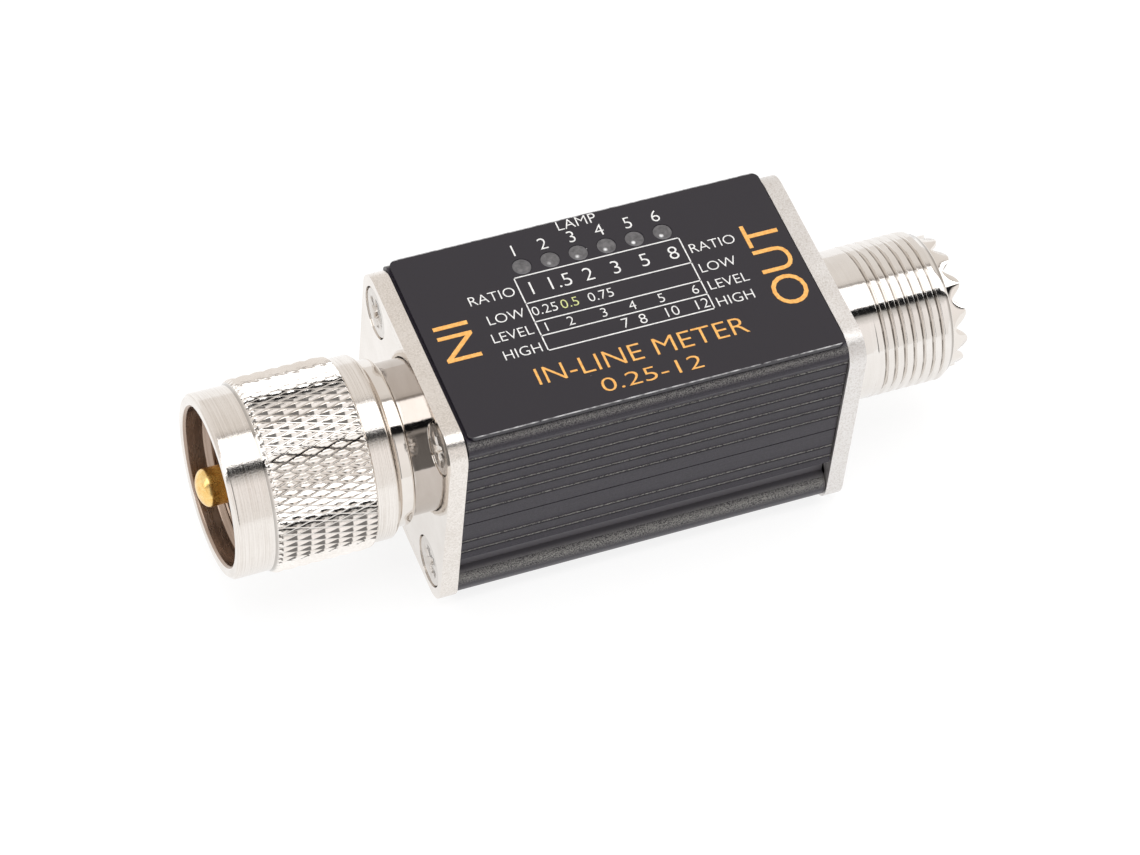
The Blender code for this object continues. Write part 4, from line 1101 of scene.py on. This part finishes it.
white_words.append(word("LAMP", 22.0, 11.05, 1.3))
orange_words = [word("IN-LINE METER", 22.2, -6.55, 2.25, 22.3), word("0.25-12", 22.05, -9.55, 1.8, 10.6),
                word("IN", 5.2, 0.0, 3.9, quarter_turns=-1, weight=BOLD),
                word("OUT", 39.25, -0.1, 3.9, quarter_turns=1, weight=BOLD)]

TABLE_LEFT, TABLE_RIGHT, TABLE_LOW, TABLE_HIGH = 13.37, 31.1, -3.75, 5.94
table_lines = [strip(TABLE_LEFT, y, TABLE_RIGHT, y) for y in (TABLE_HIGH, 2.5, 0.04, -1.81, TABLE_LOW)]
table_lines += [strip(x, TABLE_LOW, x, TABLE_HIGH) for x in (TABLE_LEFT, TABLE_RIGHT)]

white_print = printed("white_print", white_words + table_lines, white_ink)
orange_print = printed("orange_print", orange_words, orange_ink)
lime_print = printed("lime_print", [word("0.5", 17.56, 1.35, 1.2)], lime_ink)
for piece in (white_print, orange_print, lime_print):
    print(piece.name, "has", len(piece.data.polygons), "faces")

# %% [markdown]
# ## Countersunk screws
#
# Four screws hold each flange. One screw is modelled: a turned head with a cross recess cut by a tapered
# plus. The rule stands it at the four corners of a square, spins each by a seeded random amount, and does
# the same on the other flange, facing the other way.

# %% One screw
SCREW_SINK = 0.12
head_and_shank = [(0.0, 2.58), (-0.14, 2.70), (-0.34, 2.70), (-1.47, 1.4), (-7.1, 1.4), (-7.5, 1.0),
                  (-7.5, 0.0)]
screw_profile = [(0.0, 0.0), (0.0, 2.0)] + eased(head_and_shank, 0.05, closed=False)
sunk_profile = [(x - SCREW_SINK, radius) for x, radius in screw_profile]
screw = turned("flange_screws", sunk_profile, screw_metal, sides=64, closed=False)


def tapered_cross(deep, top_reach, foot_reach, top_half, foot_half):
    """A plus-shaped wedge, wide at its mouth: its points outside the head and at the recess's floor."""
    rings = []
    for x, reach, half in ((0.3, top_reach, top_half), (-deep, foot_reach, foot_half)):
        arms = []
        for quarter in range(4):
            c, s = math.cos(quarter * math.pi / 2), math.sin(quarter * math.pi / 2)
            arm = ((reach, -half), (reach, half), (half * 1.35, half * 1.35))
            arms += [(a * c - b * s, a * s + b * c) for a, b in arm]
        rings.append([at(x, y, z) for y, z in arms])
    count = len(rings[0])
    faces = [[i, (i + 1) % count, count + (i + 1) % count, count + i] for i in range(count)]
    faces += [list(range(count))[::-1], list(range(count, 2 * count))]
    mesh = bpy.data.meshes.new("cross")
    mesh.from_pydata(rings[0] + rings[1], [], faces)
    return shown("cross", mesh, screw_metal)


cross = tapered_cross(deep=1.15, top_reach=1.62, foot_reach=0.55, top_half=0.36, foot_half=0.17)
cutting = screw.modifiers.new("recess", "BOOLEAN")
cutting.operation = "DIFFERENCE"
cutting.solver = "EXACT"
cutting.object = cross
screw.data = plain_mesh(screw)
screw.modifiers.remove(cutting)
bpy.data.objects.remove(cross)
screw.data.transform(Matrix.Translation(-at(0)))
print("one screw:", len(screw.data.polygons), "faces")

# %% Screws on both flanges
screw_rule = Rule("flange_screws_rule", Spacing=2 * HOLE_OFFSET * MM, Near=at(0).x, Far=at(SOCKET_FACE).x,
                  Seed=4, Finish=screw_metal.material)
given = screw_rule.given


def four_screws(flipped, station):
    """The tree for one flange: a two-by-two grid stood on edge, a screw on each point."""
    square = {"Size X": given["Spacing"], "Size Y": given["Spacing"], "Vertices X": 2, "Vertices Y": 2}
    grid = screw_rule.node("GeometryNodeMeshGrid", square)
    stood = screw_rule.node("GeometryNodeTransform", {"Geometry": grid, "Rotation": (0.0, math.pi / 2, 0.0)})
    chance = {2: 0.0, 3: math.pi / 2, "Seed": given["Seed"] + flipped}
    spin = screw_rule.node("FunctionNodeRandomValue", chance, out=1, data_type="FLOAT")
    turn = screw_rule.bundled(spin, 0.0, math.pi * flipped)
    screws = {"Points": stood, "Instance": given["Geometry"], "Rotation": turn}
    set_up = screw_rule.node("GeometryNodeInstanceOnPoints", screws)
    place = screw_rule.bundled(station, 0.0, AXIS * MM)
    return screw_rule.node("GeometryNodeTransform", {"Geometry": set_up, "Translation": place})


joined = screw_rule.node("GeometryNodeJoinGeometry")
for group in (four_screws(1, given["Near"]), four_screws(0, given["Far"])):
    screw_rule.tree.links.new(group.socket, joined.socket.node.inputs[0])
screw_rule.finish(joined)
follow(screw, screw_rule)
dressed(screw, "screw_steel", *[f"{end}_screw_{i}" for end in ("plug", "socket") for i in range(1, 5)])
print("screws:", len(screw.data.polygons), "faces")

# %% [markdown]
# ## What is inside
#
# The board and its parts can only be seen with the case open, and the split contact only down the
# socket's bore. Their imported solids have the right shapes, so they keep them and take finishes here.

# %% Finishes for the inner parts
def varied(name, low, high, size, rough, metal=0.0, relief=0.0, **constants):
    """A plain finish whose colour and gloss drift between two tones."""
    made = Finish(name, Metallic=metal, **constants)
    drift = made.pattern(size, detail=3.0)
    made.feed(Base_Color=made.mixed(drift * 1.6 - 0.3, rgb(*low), rgb(*high)),
              Roughness=made.between(drift, *rough))
    if relief:
        made.bump(drift, relief)
    return made


board_green = Finish("solder_mask")
tracks = board_green.pattern(1.6, stretch=(4, 1, 1), detail=0.0)
lane = board_green.clamped((board_green.math("PINGPONG", tracks * 9, 0.5) * 2 - 0.72) * 8)
board_green.feed(Base_Color=board_green.mixed(lane, rgb(0.010, 0.075, 0.028), rgb(0.030, 0.150, 0.055)),
                 Roughness=board_green.between(lane, 0.30, 0.40))
board_green.bump(lane, 0.03)
inner_finishes = {
    "circuit_board": board_green,
    "controller_chip voltage_regulator forward_diode reflected_diode":
        varied("moulded_epoxy", (0.016, 0.016, 0.017), (0.030, 0.030, 0.032), 0.3, (0.45, 0.62), relief=0.01),
    "resistor_1 resistor_2 resistor_3 resistor_4":
        varied("resistor_glaze", (0.02, 0.02, 0.026), (0.05, 0.05, 0.06), 0.4, (0.25, 0.4)),
    "ceramic_capacitor_1 ceramic_capacitor_2":
        varied("tan_ceramic", (0.42, 0.31, 0.19), (0.55, 0.43, 0.29), 0.3, (0.45, 0.6)),
    "storage_capacitor through_line sense_wire":
        varied("tinned_metal", (0.60, 0.59, 0.57), (0.74, 0.73, 0.71), 0.5, (0.24, 0.42), 1.0, 0.006),
    "current_core voltage_core":
        varied("fired_ferrite", (0.030, 0.029, 0.029), (0.065, 0.062, 0.060), 0.25, (0.5, 0.7), relief=0.02),
    "current_winding voltage_winding":
        varied("enamelled_wire", (0.42, 0.13, 0.045), (0.62, 0.24, 0.09), 0.6, (0.2, 0.34), 0.9),
    "lamp_1 lamp_2 lamp_3 lamp_4 lamp_5 lamp_6":
        varied("clear_moulding", (0.62, 0.64, 0.66), (0.80, 0.82, 0.84), 0.5, (0.08, 0.18),
               Transmission_Weight=0.6),
    "socket_contact": gold,
}
for names, finish in inner_finishes.items():
    for name in names.split():
        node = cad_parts[name]
        for slot in node.material_slots:
            slot.material = finish.material
print("inner finishes:", len(inner_finishes))

# %% [markdown]
# ## The studio
#
# A pale floor, soft light from above and a pale surround. Polished nickel has no colour of its own: what
# it shows is the room. So the surround is a broad band of light overhead with a narrow dark gap in front
# of it, which is what draws the thin dark streak along every round piece of metal. A grey panel stands
# straight in front, which one side of every knurled diamond sees, so the diamonds stand out.

# %% Floor
floor_finish = Finish("pale_floor", Roughness=0.9, Specular_IOR_Level=0.0, Emission_Strength=0.84)
tone = floor_finish.pattern(400.0)
floor_finish.feed(Base_Color=floor_finish.mixed(tone, rgb(0.19, 0.19, 0.19), rgb(0.21, 0.21, 0.21)),
                  Emission_Color=floor_finish.mixed(tone, rgb(0.98, 0.98, 0.98), rgb(1.0, 1.0, 1.0)))
FLOOR_HALF = 3.0
floor_corners = [(sx * FLOOR_HALF, sy * FLOOR_HALF, 0) for sx, sy in ((-1, -1), (1, -1), (1, 1), (-1, 1))]
floor_mesh = bpy.data.meshes.new("floor")
floor_mesh.from_pydata(floor_corners, [], [(0, 1, 2, 3)])
floor = bpy.data.objects.new("floor", floor_mesh)
floor_mesh.materials.append(floor_finish.material)
bpy.context.scene.collection.objects.link(floor)
print("floor:", 2 * FLOOR_HALF, "m wide")

# %% Surround
world = bpy.data.worlds.new("surround")
bpy.context.scene.world = world
world.use_nodes = True
room = Tree(world.node_tree)
way = room.node("ShaderNodeTexCoord", out=0)
east, north, high = room.split(way)
tilt = room.math("ARCTAN2", north * -1.0, high) * (180 / math.pi)
spread = (tilt + 90) / 180
OVERHEAD = (2.0, 2.0, 2.0)
stops = [(0.0, (0.90, 0.87, 0.84)), (0.34, (0.84, 0.80, 0.76)), (0.375, (0.72, 0.68, 0.64)),
         (0.385, (0.38, 0.35, 0.33)), (0.398, (0.42, 0.39, 0.37)), (0.412, OVERHEAD), (0.601, OVERHEAD),
         (0.606, (0.008, 0.008, 0.010)), (0.662, (0.010, 0.010, 0.010)), (0.690, (0.60, 0.58, 0.56)),
         (0.75, (1.02, 0.98, 0.96)), (1.0, (0.98, 0.96, 0.94))]
surround = room.node("ShaderNodeValToRGB", {0: spread}, stops=stops)
background = world.node_tree.nodes["Background"]
room.join(surround, background.inputs["Color"])
PANEL_EAST, PANEL_HALF, PANEL_TILT = -0.10, 0.27, 32
from_panel = room.math("ABSOLUTE", east - PANEL_EAST) / PANEL_HALF
panel = room.clamped((1.0 - from_panel) * 2.5) * room.clamped((tilt - PANEL_TILT) / 6)
room.join(1.0 - panel * 0.8, background.inputs["Strength"])
print("surround has", len(stops), "stops and one panel")

# %% Lights and camera
def soft_light(name, place, target, size, power):
    lamp = bpy.data.lights.new(name, "AREA")
    lamp.shape = "DISK"
    lamp.size = size
    lamp.energy = power
    holder = bpy.data.objects.new(name, lamp)
    holder.location = place
    holder.rotation_euler = (Vector(target) - Vector(place)).to_track_quat("-Z", "Y").to_euler()
    bpy.context.scene.collection.objects.link(holder)
    return holder


overhead = soft_light("overhead", (0.05, 0.10, 0.9), (0, 0, 0), 0.8, 1.6)
front = soft_light("front", (0.25, -0.65, 0.55), (0, 0, 0.01), 0.45, 0.5)
for light in (overhead, front):
    light.visible_glossy = False

camera_data = bpy.data.cameras.new("camera")
camera_data.sensor_width = 36.0
camera_data.lens = 139.958
camera_data.clip_start, camera_data.clip_end = 0.01, 10.0
camera = bpy.data.objects.new("camera", camera_data)
right = Vector((0.93056, -0.35910, 0.07150))
up = Vector((0.24079, 0.74729, 0.61933))
back = Vector((-0.27583, -0.55911, 0.78186))
aim = Matrix((right, up, back)).transposed().to_4x4()
camera.matrix_world = Matrix.Translation((-0.12543, -0.25359, 0.36175)) @ aim
bpy.context.scene.collection.objects.link(camera)
bpy.context.scene.camera = camera
bpy.context.scene.view_settings.view_transform = "Standard"
print("camera is set")
